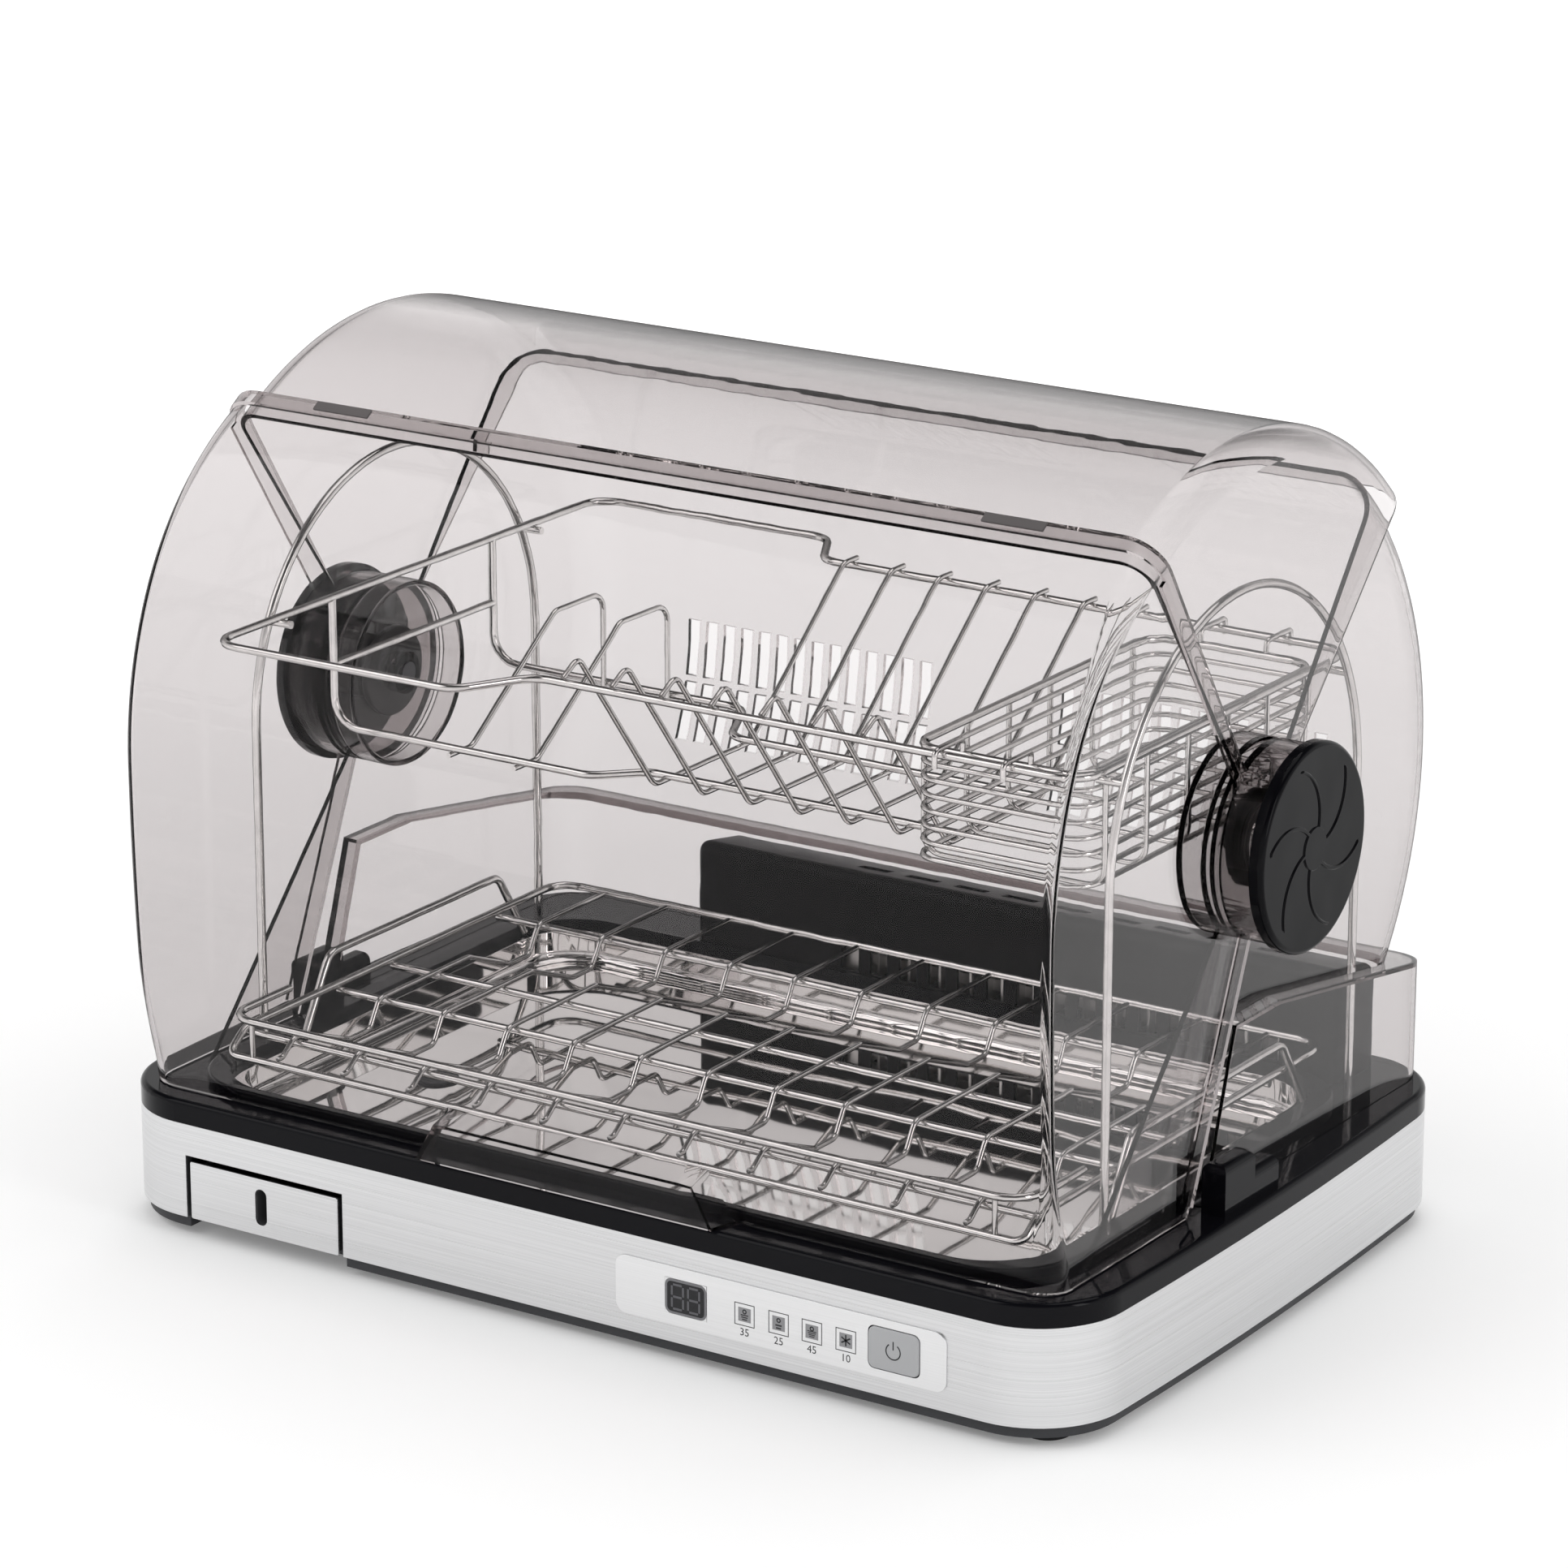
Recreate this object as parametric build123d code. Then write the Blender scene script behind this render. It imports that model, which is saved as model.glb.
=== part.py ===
from build123d import *
import math
import os

# Base: millimetres, +Z up, front towards -Y
base_width = 480
base_depth = 327
base_corner_radius = 39
front_side_draw = 3
rear_side_draw = 7.6
foot_height = 4
skirt_height = 5
band_height = 42
rim_height = 10
skirt_inset = 2.5
band_thickness = 0.8
pan_wall = 2.2
pan_floor = 2.5
rim_wall = 2.2
rim_top_thickness = 2.5
rim_edge_radius = 2.5
foot_radius = 10
foot_side_inset = 26
foot_end_inset = 24

# General clearances
fit_gap = 0.2
seat_gap = 0.1
running_gap = 0.05
slide_gap = 0.4
overrun = 6
weld_overlap = 0.6

# Screw towers
tower_side_inset = 22
tower_end_inset = 63
tower_radius = 5
tower_height = 24
post_radius = 4.5
screw_radius = 1.6
screw_hole_radius = 1.75
screw_head_radius = 3.2
screw_head_height = 2.4
screw_length = 34
counterbore_depth = 4

# Covers, all about one hub axis
hub_height = 204
hub_offset = 11
lip_overhang = 2
front_margin = 3.5
cover_wall = 2.2
cover_radial_gap = 2.8
cover_side_gap = 1.4
cover_side_margin = 16
front_upper_angle = 123
front_lower_angle = 247
front_draw_back = 7.7
front_foot_gap = 0.6
front_corner = 3
top_rear_angle = 46
top_front_angle = 125.7
top_corner = 12
rear_upper_angle = 52
rear_lower_angle = 228
rear_corner = 20
edge_rib_width = 6.4
edge_rib_height = 2.5
arm_rib_width = 9
arm_rib_height = 1.5

# Rear cover's lower part
rear_band_margin = 6.8
rear_band_corner = 17
rear_band_angle = 252
step_front_height = 71
step_rear_height = 50.5
step_break_offset = 14.5
vent_pitch = 9.5
vent_width = 6
vent_first = 36.5
vent_side_margin = 36
vent_low = 82
vent_height = 54
vent_bridge = 3

# Lifting lip of the front cover
lip_foot_half = 76
lip_head_half = 64
lip_height = 21
lip_face_height = 17

# Bumper pads on the front cover's edge
bumper_side_margin = 48
bumper_length = 28
bumper_thickness = 1.2
bumper_width_share = 0.7

# Hubs
eye_radius = 41
eye_ring_wall = 3
eye_ring_length = 14
pivot_radius = 14
pivot_flange_radius = 20
pivot_flange_thickness = 3
hub_cap_radius = 43.5
hub_cap_gap = 0.6
hub_cap_rim = 6
hub_cap_dome = 2.4
swirl_count = 6
swirl_inner_radius = 9
swirl_outer_radius = 37
swirl_sweep = 48
swirl_width = 1.6
swirl_height = 0.6
cup_depth = 11.6
cup_wall = 2
cup_boss_radius = 9
hub_screw_radius = 2.5
hub_screw_head_radius = 5
hub_screw_head_height = 3
hub_screw_length = 22

# Clips on the rim
clip_gap = 0.2
clip_thickness = 11
clip_lead = 49.75
clip_length = 44
clip_front_lobe_height = 21
clip_rear_lobe_height = 12
clip_front_lobe_share = 0.55

# Drip tray
tray_side_margin = 19.8
tray_front_margin = 25.8
tray_rear_margin = 52.2
tray_flange = 5
tray_sheet = 0.8
tray_depth = 14
tray_corner_radius = 28
tray_bottom_radius = 6
collar_wall = 2
collar_height = 8
ring_side_width = 10
ring_front_width = 5
ring_rear_width = 2.4
ring_height = 4.5
ring_edge_radius = 1.2
drain_offset = 10.8
drain_setback = 109.75
drain_radius = 6
spout_bore = 4
spout_flange_radius = 9
spout_flange_height = 1.2
spout_length = 10

# Water drawer
drawer_side_margin = 47.4
drawer_width = 77.6
drawer_front_height = 25.4
drawer_gap = 2.4
drawer_front_thickness = 1.2
drawer_front_corner = 0.8
drawer_wall = 2
drawer_inset = 2.2
drawer_length = 122
drawer_body_height = 23
drawer_face_wall = 3
runner_width = 5
guide_wall = 2
guide_height = 20
notch_depth = 12
slot_width = 6
slot_height = 16
slot_offset = -1.5
insert_wall = 1.4
insert_depth = 9

# Control panel
panel_side_margin = 57.6
panel_width = 156.6
panel_low = 16.8
panel_height = 25.2
panel_corner = 5
panel_thickness = 0.8
plug_margin_x = 7
plug_margin_z = 2
plug_depth = 2.6
display_offset = 24.2
display_width = 20
display_height = 15.1
display_raise = 5
window_thickness = 1.6
button_offset = 120.8
button_width = 23.4
button_height = 17.5
button_raise = 3.9
button_corner = 3
button_proud = 0.5
button_gap = 0.35
button_flange = 1.3
button_flange_thickness = 1.2
button_stem_length = 5.8
button_travel = 0.8
switch_size = 6
board_setback = 13.5
board_thickness = 1.6
board_side_margin = 12
board_height = 30
board_foot = 4
board_foot_width = 6
board_slot_depth = 3

# Cord gland
gland_side_margin = 64
gland_height = 26
gland_body_radius = 6
gland_collar_radius = 9
gland_collar_length = 5
gland_nut_length = 4
gland_bore = 3.2

# Wire sizes
frame_wire = 3.6
thin_wire = 2.4
arch_wire = 3.8
bend_radius = 13
bend_steps = 2
thin_sides = 6
frame_sides = 8

# Arches
arch_wall_gap = 6.6
arch_radial_margin = 59.5
arch_steps = 12
arch_socket_depth = 4.5
peg_reach = 12

# Upper rack
rack_side_gap = 8.5
rack_height = 252.5
rack_end_gap = 10.7
rack_overhang = 6.5
rack_bay_length = 123.5
rack_jog_run = 18
post_half = 58
rack_drop = 56.5
rail_front = 40
rail_rear = 20
rail_jog_shift = 10
rail_end_gap = 10
mid_bar_drop = 29.5
divider_lead = 6
divider_pitch = 24
divider_hump = 6
divider_hook = 8
hoop_setbacks = (61.5, 95.5)
hoop_rise = 42
hoop_reach = 2
hoop_rise_inset = 15
hoop_top_front = 19
hoop_rear_inset = 3

# Cutlery basket
basket_width = 78
basket_side_gap = 7.5
basket_end_gap = 15
basket_top_drop = 3.5
basket_depth = 46
basket_loops = 7
basket_corner = 12
basket_cross_count = 6
basket_hook_drop = 7
basket_hook_share = 0.3

# Lower rack
low_side_gap = 0.6
low_rail_rise = 19.2
low_rear_overhang = 1.95
low_front_gap = 7.95
low_front_drop = 9
low_bumper_rise = 8
low_bumper_run = 43
low_bend_run = 12
low_front_cross = 14
low_cross_shares = (0.317, 0.477, 0.802)
low_bar_pitch = 34
low_bar_margin = 20
low_dip = 12
low_dip_margin = 4
low_drop_length = 7
low_bar_bend = 5
handle_offset = 3
handle_front_margin = 57
handle_rear_margin = 24
handle_front_run = 18
handle_rear_run = 20
handle_rise = 14

# Blower
blower_left_margin = 71
blower_side_margin = 3
blower_gap = 0.5
blower_depth = 33
blower_front_height = 51
blower_rear_height = 45
blower_wall = 2
blower_corner = 5
grille_width = 9
grille_pitch = 15
grille_low = 5
grille_height = 12
inlet_width = 16
inlet_pitch = 25
inlet_depth = 6
inlet_setback = 12
fan_radius = 13
fan_offset_y = 16.4
fan_height = 31
fan_left = 78
fan_right_margin = 16
fan_disc = 2
fan_blades = 12
fan_blade_height = 5
fan_blade_thickness = 0.9
shaft_radius = 3
motor_radius = 13.4
motor_length = 52
motor_left = 12
motor_nose_radius = 7
motor_nose_length = 6
bearing_radius = 8
bearing_length = 6
heater_height = 12
heater_depth = 24
heater_raise = 2.6
heater_fin_pitch = 8
heater_fin_thickness = 1.2
heater_core_height = 5
cutout_length = 9
cutout_depth = 13
cutout_height = 8

# Levels and limits that follow from the sizes above
skirt_low = foot_height
band_low = skirt_low + skirt_height
rim_low = band_low + band_height
rim_top = rim_low + rim_height
floor_top = skirt_low + pan_floor
plate_low = rim_top - rim_top_thickness
front_radius = hub_offset + base_depth / 2 - front_margin
top_radius = front_radius - cover_wall - cover_radial_gap
rear_radius = top_radius - cover_wall - cover_radial_gap
front_side = base_width / 2 - cover_side_margin
top_side = front_side - cover_wall - cover_side_gap
rear_side = top_side - cover_wall - cover_side_gap
base_center_y = (base_depth / 2 + lip_overhang - hub_offset - rear_radius) / 2
base_front = base_center_y - base_depth / 2
base_rear = base_center_y + base_depth / 2
hub_y = base_center_y + hub_offset
hub_z = hub_height
foot_z = rim_top + front_foot_gap
lip_front = base_front - lip_overhang
clip_front = hub_y - clip_lead
inner_side = rear_side - cover_wall
arch_side = inner_side - arch_wall_gap
arch_radius = rear_radius - arch_radial_margin
tray_half = rear_side - tray_side_margin
tray_front = base_front + tray_front_margin
tray_rear = base_rear - tray_rear_margin
tray_top = rim_top + tray_sheet
tray_low = rim_top - tray_depth
drawer_left = drawer_side_margin - base_width / 2
drawer_right = drawer_left + drawer_width
drawer_low = band_low + seat_gap
drawer_top = drawer_low + drawer_front_height
panel_right = base_width / 2 - panel_side_margin
panel_left = panel_right - panel_width
panel_top = panel_low + panel_height
drain_x = (drawer_left + drawer_right) / 2 + drain_offset
drain_y = base_front + drain_setback
gland_x = base_width / 2 - gland_side_margin
blower_right = tray_half + blower_side_margin
blower_left = blower_left_margin - tray_half
blower_length = blower_right - blower_left
fan_length = blower_length - fan_left - fan_right_margin
blower_front = tray_rear + tray_flange + ring_rear_width + blower_gap
blower_rear = blower_front + blower_depth
fan_y = blower_front + fan_offset_y
fan_z = rim_top + fan_height

nodes = {}


def hub_point(radius, angle):
    """Return (y, z) at a radius and an angle about the hub axis."""
    turn = math.radians(angle)
    return hub_y + radius * math.cos(turn), hub_z + radius * math.sin(turn)


def on_ray(angle, height):
    """Return (y, z) at a height on the ray leaving the hub axis at an angle."""
    return hub_y + (height - hub_z) / math.tan(math.radians(angle)), height


def polygon(*points):
    """Return a sketch with straight sides through the points."""
    return make_face(Polyline(*points, close=True))


def across(sketch, half_width):
    """Extrude a sketch of the YZ plane both ways along X."""
    return extrude(Plane.YZ * sketch, amount=half_width, both=True)


def across_span(sketch, low, high):
    """Extrude a sketch of the YZ plane between two X values."""
    return Pos((low + high) / 2, 0, 0) * across(sketch, (high - low) / 2)


def upright(sketch, low, high):
    """Extrude a plan between two heights."""
    return Pos(0, 0, low) * extrude(sketch, amount=high - low)


def block(x_span, y_span, z_span):
    """Return a box between two limits on each axis."""
    spans = (x_span, y_span, z_span)
    centre = [(low + high) / 2 for low, high in spans]
    size = [high - low for low, high in spans]
    return Pos(*centre) * Box(*size)


def front_slab(x_span, z_span, y_span, radius):
    """Return a slab with rounded corners as seen from the front."""
    width = x_span[1] - x_span[0]
    height = z_span[1] - z_span[0]
    face = Pos(sum(x_span) / 2, sum(z_span) / 2) * RectangleRounded(width, height, radius)
    return Pos(0, y_span[1], 0) * extrude(Plane.XZ * face, amount=y_span[1] - y_span[0])


def x_rod(radius, y, z, low, high):
    """Return a cylinder along X."""
    return Pos((low + high) / 2, y, z) * Rot(0, 90, 0) * Cylinder(radius, high - low)


def y_rod(radius, x, z, low, high):
    """Return a cylinder along Y."""
    return Pos(x, (low + high) / 2, z) * Rot(90, 0, 0) * Cylinder(radius, high - low)


def z_rod(radius, x, y, low, high):
    """Return a cylinder along Z."""
    return Pos(x, y, (low + high) / 2) * Cylinder(radius, high - low)


def other_side(shape):
    """Return the shape mirrored to the left side."""
    return mirror(shape, about=Plane.YZ)


def base_outline(inset):
    """Return the plan of the base, with bowed sides, drawn in by an inset."""
    front, rear = base_front + inset, base_rear - inset
    middle = base_width / 2 - inset
    front_half, rear_half = middle - front_side_draw, middle - rear_side_draw
    edges = [
        Line((-front_half, front), (front_half, front)),
        ThreePointArc((front_half, front), (middle, base_center_y), (rear_half, rear)),
        Line((rear_half, rear), (-rear_half, rear)),
        ThreePointArc((-rear_half, rear), (-middle, base_center_y), (-front_half, front)),
    ]
    plan = make_face(edges)
    return fillet(plan.vertices(), base_corner_radius - inset)


def tray_plan(grow):
    """Return the plan of the tray opening grown by an amount."""
    width = 2 * (tray_half + grow)
    length = tray_rear - tray_front + 2 * grow
    plan = RectangleRounded(width, length, tray_corner_radius + grow)
    return Pos(0, (tray_front + tray_rear) / 2) * plan


def sector(radius, start, end):
    """Return the part of a disc about the hub between two angles."""
    middle = (start + end) / 2
    first, last = hub_point(radius, start), hub_point(radius, end)
    edges = [
        Line((hub_y, hub_z), first),
        ThreePointArc(first, hub_point(radius, middle), last),
        Line(last, (hub_y, hub_z)),
    ]
    return make_face(edges)


def arc_band(inner, outer, start, end):
    """Return a band of the hub's circle between two radii and two angles."""
    middle = (start + end) / 2
    edges = [
        Line(hub_point(inner, start), hub_point(outer, start)),
        ThreePointArc(hub_point(outer, start), hub_point(outer, middle), hub_point(outer, end)),
        Line(hub_point(outer, end), hub_point(inner, end)),
        ThreePointArc(hub_point(inner, end), hub_point(inner, middle), hub_point(inner, start)),
    ]
    return make_face(edges)


def drum(radius, half_width, corner):
    """Return a full drum about the hub axis with rounded ends."""
    shape = across(Pos(hub_y, hub_z) * Circle(radius), half_width)
    return fillet(shape.edges().filter_by(GeomType.CIRCLE), corner)


def eye(low, high):
    """Return the disc of a cover's hub eye on the right side."""
    return x_rod(eye_radius, hub_y, hub_z, low, high)


def strip(start, angle, length, width):
    """Return a straight strip to one side of a ray."""
    along = (math.cos(math.radians(angle)), math.sin(math.radians(angle)))
    aside = (-along[1], along[0])
    end = (start[0] + along[0] * length, start[1] + along[1] * length)
    shift = (aside[0] * width, aside[1] * width)
    return polygon(start, end, (end[0] + shift[0], end[1] + shift[1]),
                   (start[0] + shift[0], start[1] + shift[1]))


def bend(points, radius=bend_radius, closed=False):
    """Return the points with each corner broken into a short run of chords."""
    given = [Vector(*point) for point in points]
    before = given[-1:] + given[:-1]
    after = given[1:] + given[:1]
    result = []
    for index, (last, corner, coming) in enumerate(zip(before, given, after)):
        if not closed and index in (0, len(given) - 1):
            result.append(corner)
            continue
        back, ahead = last - corner, coming - corner
        half_turn = back.get_angle(ahead) / 2
        reach = radius / math.tan(math.radians(half_turn))
        reach = min(reach, back.length / 3, ahead.length / 3)
        start = corner + back.normalized() * reach
        end = corner + ahead.normalized() * reach
        for step in range(bend_steps + 1):
            share = step / bend_steps
            result.append(start * (1 - share) ** 2 + corner * (2 * share * (1 - share))
                          + end * share ** 2)
    return result


def rod_along(points, diameter, sides, closed=False):
    """Sweep a many-sided section along straight runs with mitred corners."""
    path = Polyline(*points, close=closed)
    start = Plane(origin=points[0], z_dir=points[1] - points[0])
    section = start * RegularPolygon(diameter / 2, sides)
    return sweep(section, path=path, transition=Transition.RIGHT)


def thin(points, radius=bend_radius):
    """Return a bent thin wire."""
    return rod_along(bend(points, radius), thin_wire, thin_sides)


def thick(points, radius=bend_radius, closed=False):
    """Return a bent frame wire, open or closed."""
    return rod_along(bend(points, radius, closed), frame_wire, frame_sides, closed)


def weld(wires):
    """Join crossing wires into one solid."""
    return wires[0].fuse(*wires[1:])


# Base pan
tower_x = base_width / 2 - tower_side_inset
tower_ys = (base_front + tower_end_inset, base_rear - tower_end_inset)
tower_spots = [(side * tower_x, y) for side in (-1, 1) for y in tower_ys]
tower_top = floor_top + tower_height
cut_x = (drawer_left - drawer_gap, drawer_right + drawer_gap)
cut_top = drawer_top + drawer_gap
pan = upright(base_outline(skirt_inset), skirt_low, band_low)
pan += upright(base_outline(band_thickness + fit_gap), band_low, rim_low)
pan -= upright(base_outline(skirt_inset + pan_wall), floor_top, rim_low + overrun)
pan -= block(cut_x, (base_front - overrun, base_front + notch_depth), (-overrun, cut_top))
plug_x = (panel_left + plug_margin_x, panel_right - plug_margin_x)
plug_z = (panel_low + plug_margin_z, panel_top - plug_margin_z)
window_x = (plug_x[0] - fit_gap, plug_x[1] + fit_gap)
window_z = (plug_z[0] - fit_gap, plug_z[1] + fit_gap)
window = front_slab(window_x, window_z, (base_front - overrun, base_front + notch_depth), panel_corner)
pan -= window
drawer_rear = base_front + drawer_length
for edge, turn in ((cut_x[0], -1), (cut_x[1], 1)):
    wall_x = sorted((edge, edge + turn * guide_wall))
    pan += block(wall_x, (base_front + notch_depth, drawer_rear), (skirt_low, floor_top + guide_height))
body_x = (drawer_left + drawer_inset, drawer_right - drawer_inset)
body_low = drawer_low + seat_gap
for low in (body_x[0], body_x[1] - runner_width):
    runner_x = (low, low + runner_width)
    pan += block(runner_x, (base_front + notch_depth, drawer_rear), (skirt_low, body_low - slide_gap))
for x, y in tower_spots:
    pan += z_rod(tower_radius, x, y, skirt_low, tower_top)
for x, y in tower_spots:
    pan -= z_rod(screw_hole_radius, x, y, -overrun, rim_low)
    pan -= z_rod(screw_head_radius + fit_gap, x, y, -overrun, skirt_low + counterbore_depth)
board_y = base_front + board_setback
board_x = (plug_x[0] - board_side_margin, plug_x[1] + board_side_margin)
board_low = floor_top + board_foot
for x in board_x:
    foot_x = (x - board_foot_width / 2, x + board_foot_width / 2)
    foot_y = (board_y - pan_wall, board_y + board_thickness + pan_wall)
    slot_y = (board_y - fit_gap, board_y + board_thickness + fit_gap)
    pan += block(foot_x, foot_y, (skirt_low, board_low + board_slot_depth))
    pan -= block(foot_x, slot_y, (board_low, rim_low))
gland_z = band_low + gland_height
gland_hole = y_rod(gland_body_radius + fit_gap, gland_x, gland_z, base_rear - notch_depth,
                   base_rear + overrun)
nodes["base_pan"] = pan - gland_hole

# Steel band
band = upright(base_outline(0) - base_outline(band_thickness), band_low, rim_low)
band -= block(cut_x, (base_front - overrun, base_front + notch_depth), (band_low - overrun, cut_top))
nodes["steel_band"] = band - window - gland_hole

# Feet
spots = [(side * (base_width / 2 - foot_side_inset), y) for side in (-1, 1)
         for y in (base_front + foot_end_inset, base_rear - foot_end_inset)]
nodes["feet"] = Compound(children=[z_rod(foot_radius, x, y, 0, foot_height) for x, y in spots])

# Rim frame
rim = upright(base_outline(0), rim_low, rim_top)
rim = fillet(rim.faces().sort_by(Axis.Z)[-1].edges(), rim_edge_radius)
rim -= upright(base_outline(rim_wall), rim_low - overrun, plate_low)
rim += upright(tray_plan(fit_gap + collar_wall), plate_low - collar_height, rim_top)
ring_half = tray_half + tray_flange + ring_side_width
ring_front = tray_front - tray_flange - ring_front_width
ring_rear = tray_rear + tray_flange + ring_rear_width
ring_plan = Pos(0, (ring_front + ring_rear) / 2) * RectangleRounded(
    2 * ring_half, ring_rear - ring_front, tray_corner_radius + tray_flange + ring_rear_width)
ring = upright(ring_plan, plate_low, rim_top + ring_height)
ring = fillet(ring.faces().sort_by(Axis.Z)[-1].edges(), ring_edge_radius)
rim += ring
rim -= upright(tray_plan(tray_flange + fit_gap), rim_top, rim_top + ring_height + overrun)
rim -= upright(tray_plan(fit_gap), rim_low - overrun - collar_height, rim_top + overrun)
arch_ys = (hub_y - arch_radius, hub_y + arch_radius)
arch_spots = [(side * arch_side, y) for side in (-1, 1) for y in arch_ys]
socket_low = rim_top - arch_socket_depth
for x, y in arch_spots:
    rim += z_rod(arch_wire, x, y, socket_low - rim_wall, rim_top)
for x, y in arch_spots:
    rim -= z_rod(arch_wire / 2 + seat_gap, x, y, socket_low, rim_top + ring_height + overrun)
for x, y in tower_spots:
    rim += z_rod(post_radius, x, y, tower_top + fit_gap, rim_top - rim_edge_radius)
screw_low = skirt_low + counterbore_depth - screw_head_height
screw_top = screw_low + screw_length
for x, y in tower_spots:
    rim -= z_rod(screw_radius + running_gap, x, y, tower_top - overrun, screw_top + fit_gap)
nodes["rim_frame"] = rim

# Base screws
screws = []
for x, y in tower_spots:
    head = z_rod(screw_head_radius, x, y, screw_low, screw_low + screw_head_height)
    screws.append(head + z_rod(screw_radius, x, y, screw_low, screw_top))
nodes["base_screws"] = Compound(children=screws)

# Drip tray
tray = upright(tray_plan(0), tray_low, tray_top)
tray = fillet(tray.faces().sort_by(Axis.Z)[0].edges(), tray_bottom_radius)
tray += upright(tray_plan(tray_flange), rim_top, tray_top)
hollow = upright(tray_plan(-tray_sheet), tray_low + tray_sheet, tray_top + overrun)
hollow = fillet(hollow.faces().sort_by(Axis.Z)[0].edges(), tray_bottom_radius - tray_sheet)
tray -= hollow
tray -= z_rod(drain_radius, drain_x, drain_y, tray_low - overrun, tray_top)
nodes["drip_tray"] = tray

# Drain spout
spout_top = tray_low + tray_sheet + spout_flange_height
spout = z_rod(spout_flange_radius, drain_x, drain_y, tray_low + tray_sheet, spout_top)
spout += z_rod(drain_radius - fit_gap, drain_x, drain_y, tray_low - spout_length, spout_top)
nodes["drain_spout"] = spout - z_rod(spout_bore, drain_x, drain_y, -overrun, rim_top)

# Water drawer
face_y = base_front + drawer_front_thickness
body_top = body_low + drawer_body_height
drawer = block(body_x, (face_y, drawer_rear), (body_low, body_top))
inner_x = (body_x[0] + drawer_wall, body_x[1] - drawer_wall)
inner_y = (face_y + drawer_face_wall, drawer_rear - drawer_wall)
drawer -= block(inner_x, inner_y, (body_low + drawer_wall, body_top + overrun))
slot_x = (drawer_left + drawer_right) / 2 + slot_offset
slot_z = (drawer_low + drawer_top) / 2
slot_xs = (slot_x - slot_width / 2, slot_x + slot_width / 2)
slot_zs = (slot_z - slot_height / 2, slot_z + slot_height / 2)
shell_xs = (slot_xs[0] - insert_wall, slot_xs[1] + insert_wall)
shell_zs = (slot_zs[0] - insert_wall, slot_zs[1] + insert_wall)
insert_rear = face_y + insert_depth
hole_xs = (shell_xs[0] - fit_gap, shell_xs[1] + fit_gap)
hole_zs = (shell_zs[0] - fit_gap, shell_zs[1] + fit_gap)
hole_corner = slot_width / 2 + insert_wall + fit_gap / 2
drawer -= front_slab(hole_xs, hole_zs, (base_front, insert_rear), hole_corner)
nodes["water_drawer"] = drawer
plate = front_slab((drawer_left, drawer_right), (drawer_low, drawer_top), (base_front, face_y),
                   drawer_front_corner)
slot_corner = slot_width / 2 - seat_gap
finger_cut = front_slab(slot_xs, slot_zs, (base_front - overrun, insert_rear - insert_wall), slot_corner)
nodes["drawer_front"] = plate - finger_cut
insert = front_slab(shell_xs, shell_zs, (face_y, insert_rear), slot_corner + insert_wall)
nodes["finger_insert"] = insert - finger_cut

# Control panel
plug_rear = base_front + plug_depth
panel = front_slab((panel_left, panel_right), (panel_low, panel_top),
                   (base_front - panel_thickness, base_front), panel_corner)
panel += front_slab(plug_x, plug_z, (base_front, plug_rear), panel_corner - fit_gap)
display_x = (panel_left + display_offset, panel_left + display_offset + display_width)
display_z = (panel_low + display_raise, panel_low + display_raise + display_height)
button_x = (panel_left + button_offset, panel_left + button_offset + button_width)
button_z = (panel_low + button_raise, panel_low + button_raise + button_height)
display_cut_x = (display_x[0] - seat_gap, display_x[1] + seat_gap)
display_cut_z = (display_z[0] - seat_gap, display_z[1] + seat_gap)
panel -= block(display_cut_x, (base_front - overrun, base_front + overrun), display_cut_z)
button_cut_x = (button_x[0] - button_gap, button_x[1] + button_gap)
button_cut_z = (button_z[0] - button_gap, button_z[1] + button_gap)
panel -= front_slab(button_cut_x, button_cut_z, (base_front - overrun, base_front + overrun), button_corner)
nodes["control_panel"] = panel
window_front = base_front - panel_thickness
nodes["display_window"] = block(display_x, (window_front, window_front + window_thickness), display_z)
module_front = window_front + window_thickness + fit_gap
nodes["display_module"] = block(display_x, (module_front, board_y), display_z)
flange_x = (button_x[0] - button_flange, button_x[1] + button_flange)
flange_z = (button_z[0] - button_flange, button_z[1] + button_flange)
flange_y = plug_rear + slide_gap
button_rear = base_front + button_stem_length
button = front_slab(button_x, button_z, (window_front - button_proud, button_rear), button_corner)
button += front_slab(flange_x, flange_z, (flange_y, flange_y + button_flange_thickness), button_corner)
nodes["power_button"] = button
switch_front = button_rear + button_travel + slide_gap
button_mid = (sum(button_x) / 2, sum(button_z) / 2)
switch_x = (button_mid[0] - switch_size / 2, button_mid[0] + switch_size / 2)
switch_z = (button_mid[1] - switch_size / 2, button_mid[1] + switch_size / 2)
nodes["push_switch"] = block(switch_x, (switch_front, board_y), switch_z)
nodes["control_board"] = block(board_x, (board_y, board_y + board_thickness),
                               (board_low, board_low + board_height))

# Cord gland
pan_inner = base_rear - skirt_inset - pan_wall
gland_end = base_rear + gland_collar_length
gland = y_rod(gland_body_radius, gland_x, gland_z, pan_inner - gland_nut_length, gland_end)
gland += y_rod(gland_collar_radius, gland_x, gland_z, base_rear, gland_end)
gland += y_rod(gland_collar_radius, gland_x, gland_z, pan_inner - gland_nut_length, pan_inner)
nodes["cord_gland"] = gland - y_rod(gland_bore, gland_x, gland_z, base_rear - notch_depth,
                                    base_rear + notch_depth)


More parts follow.
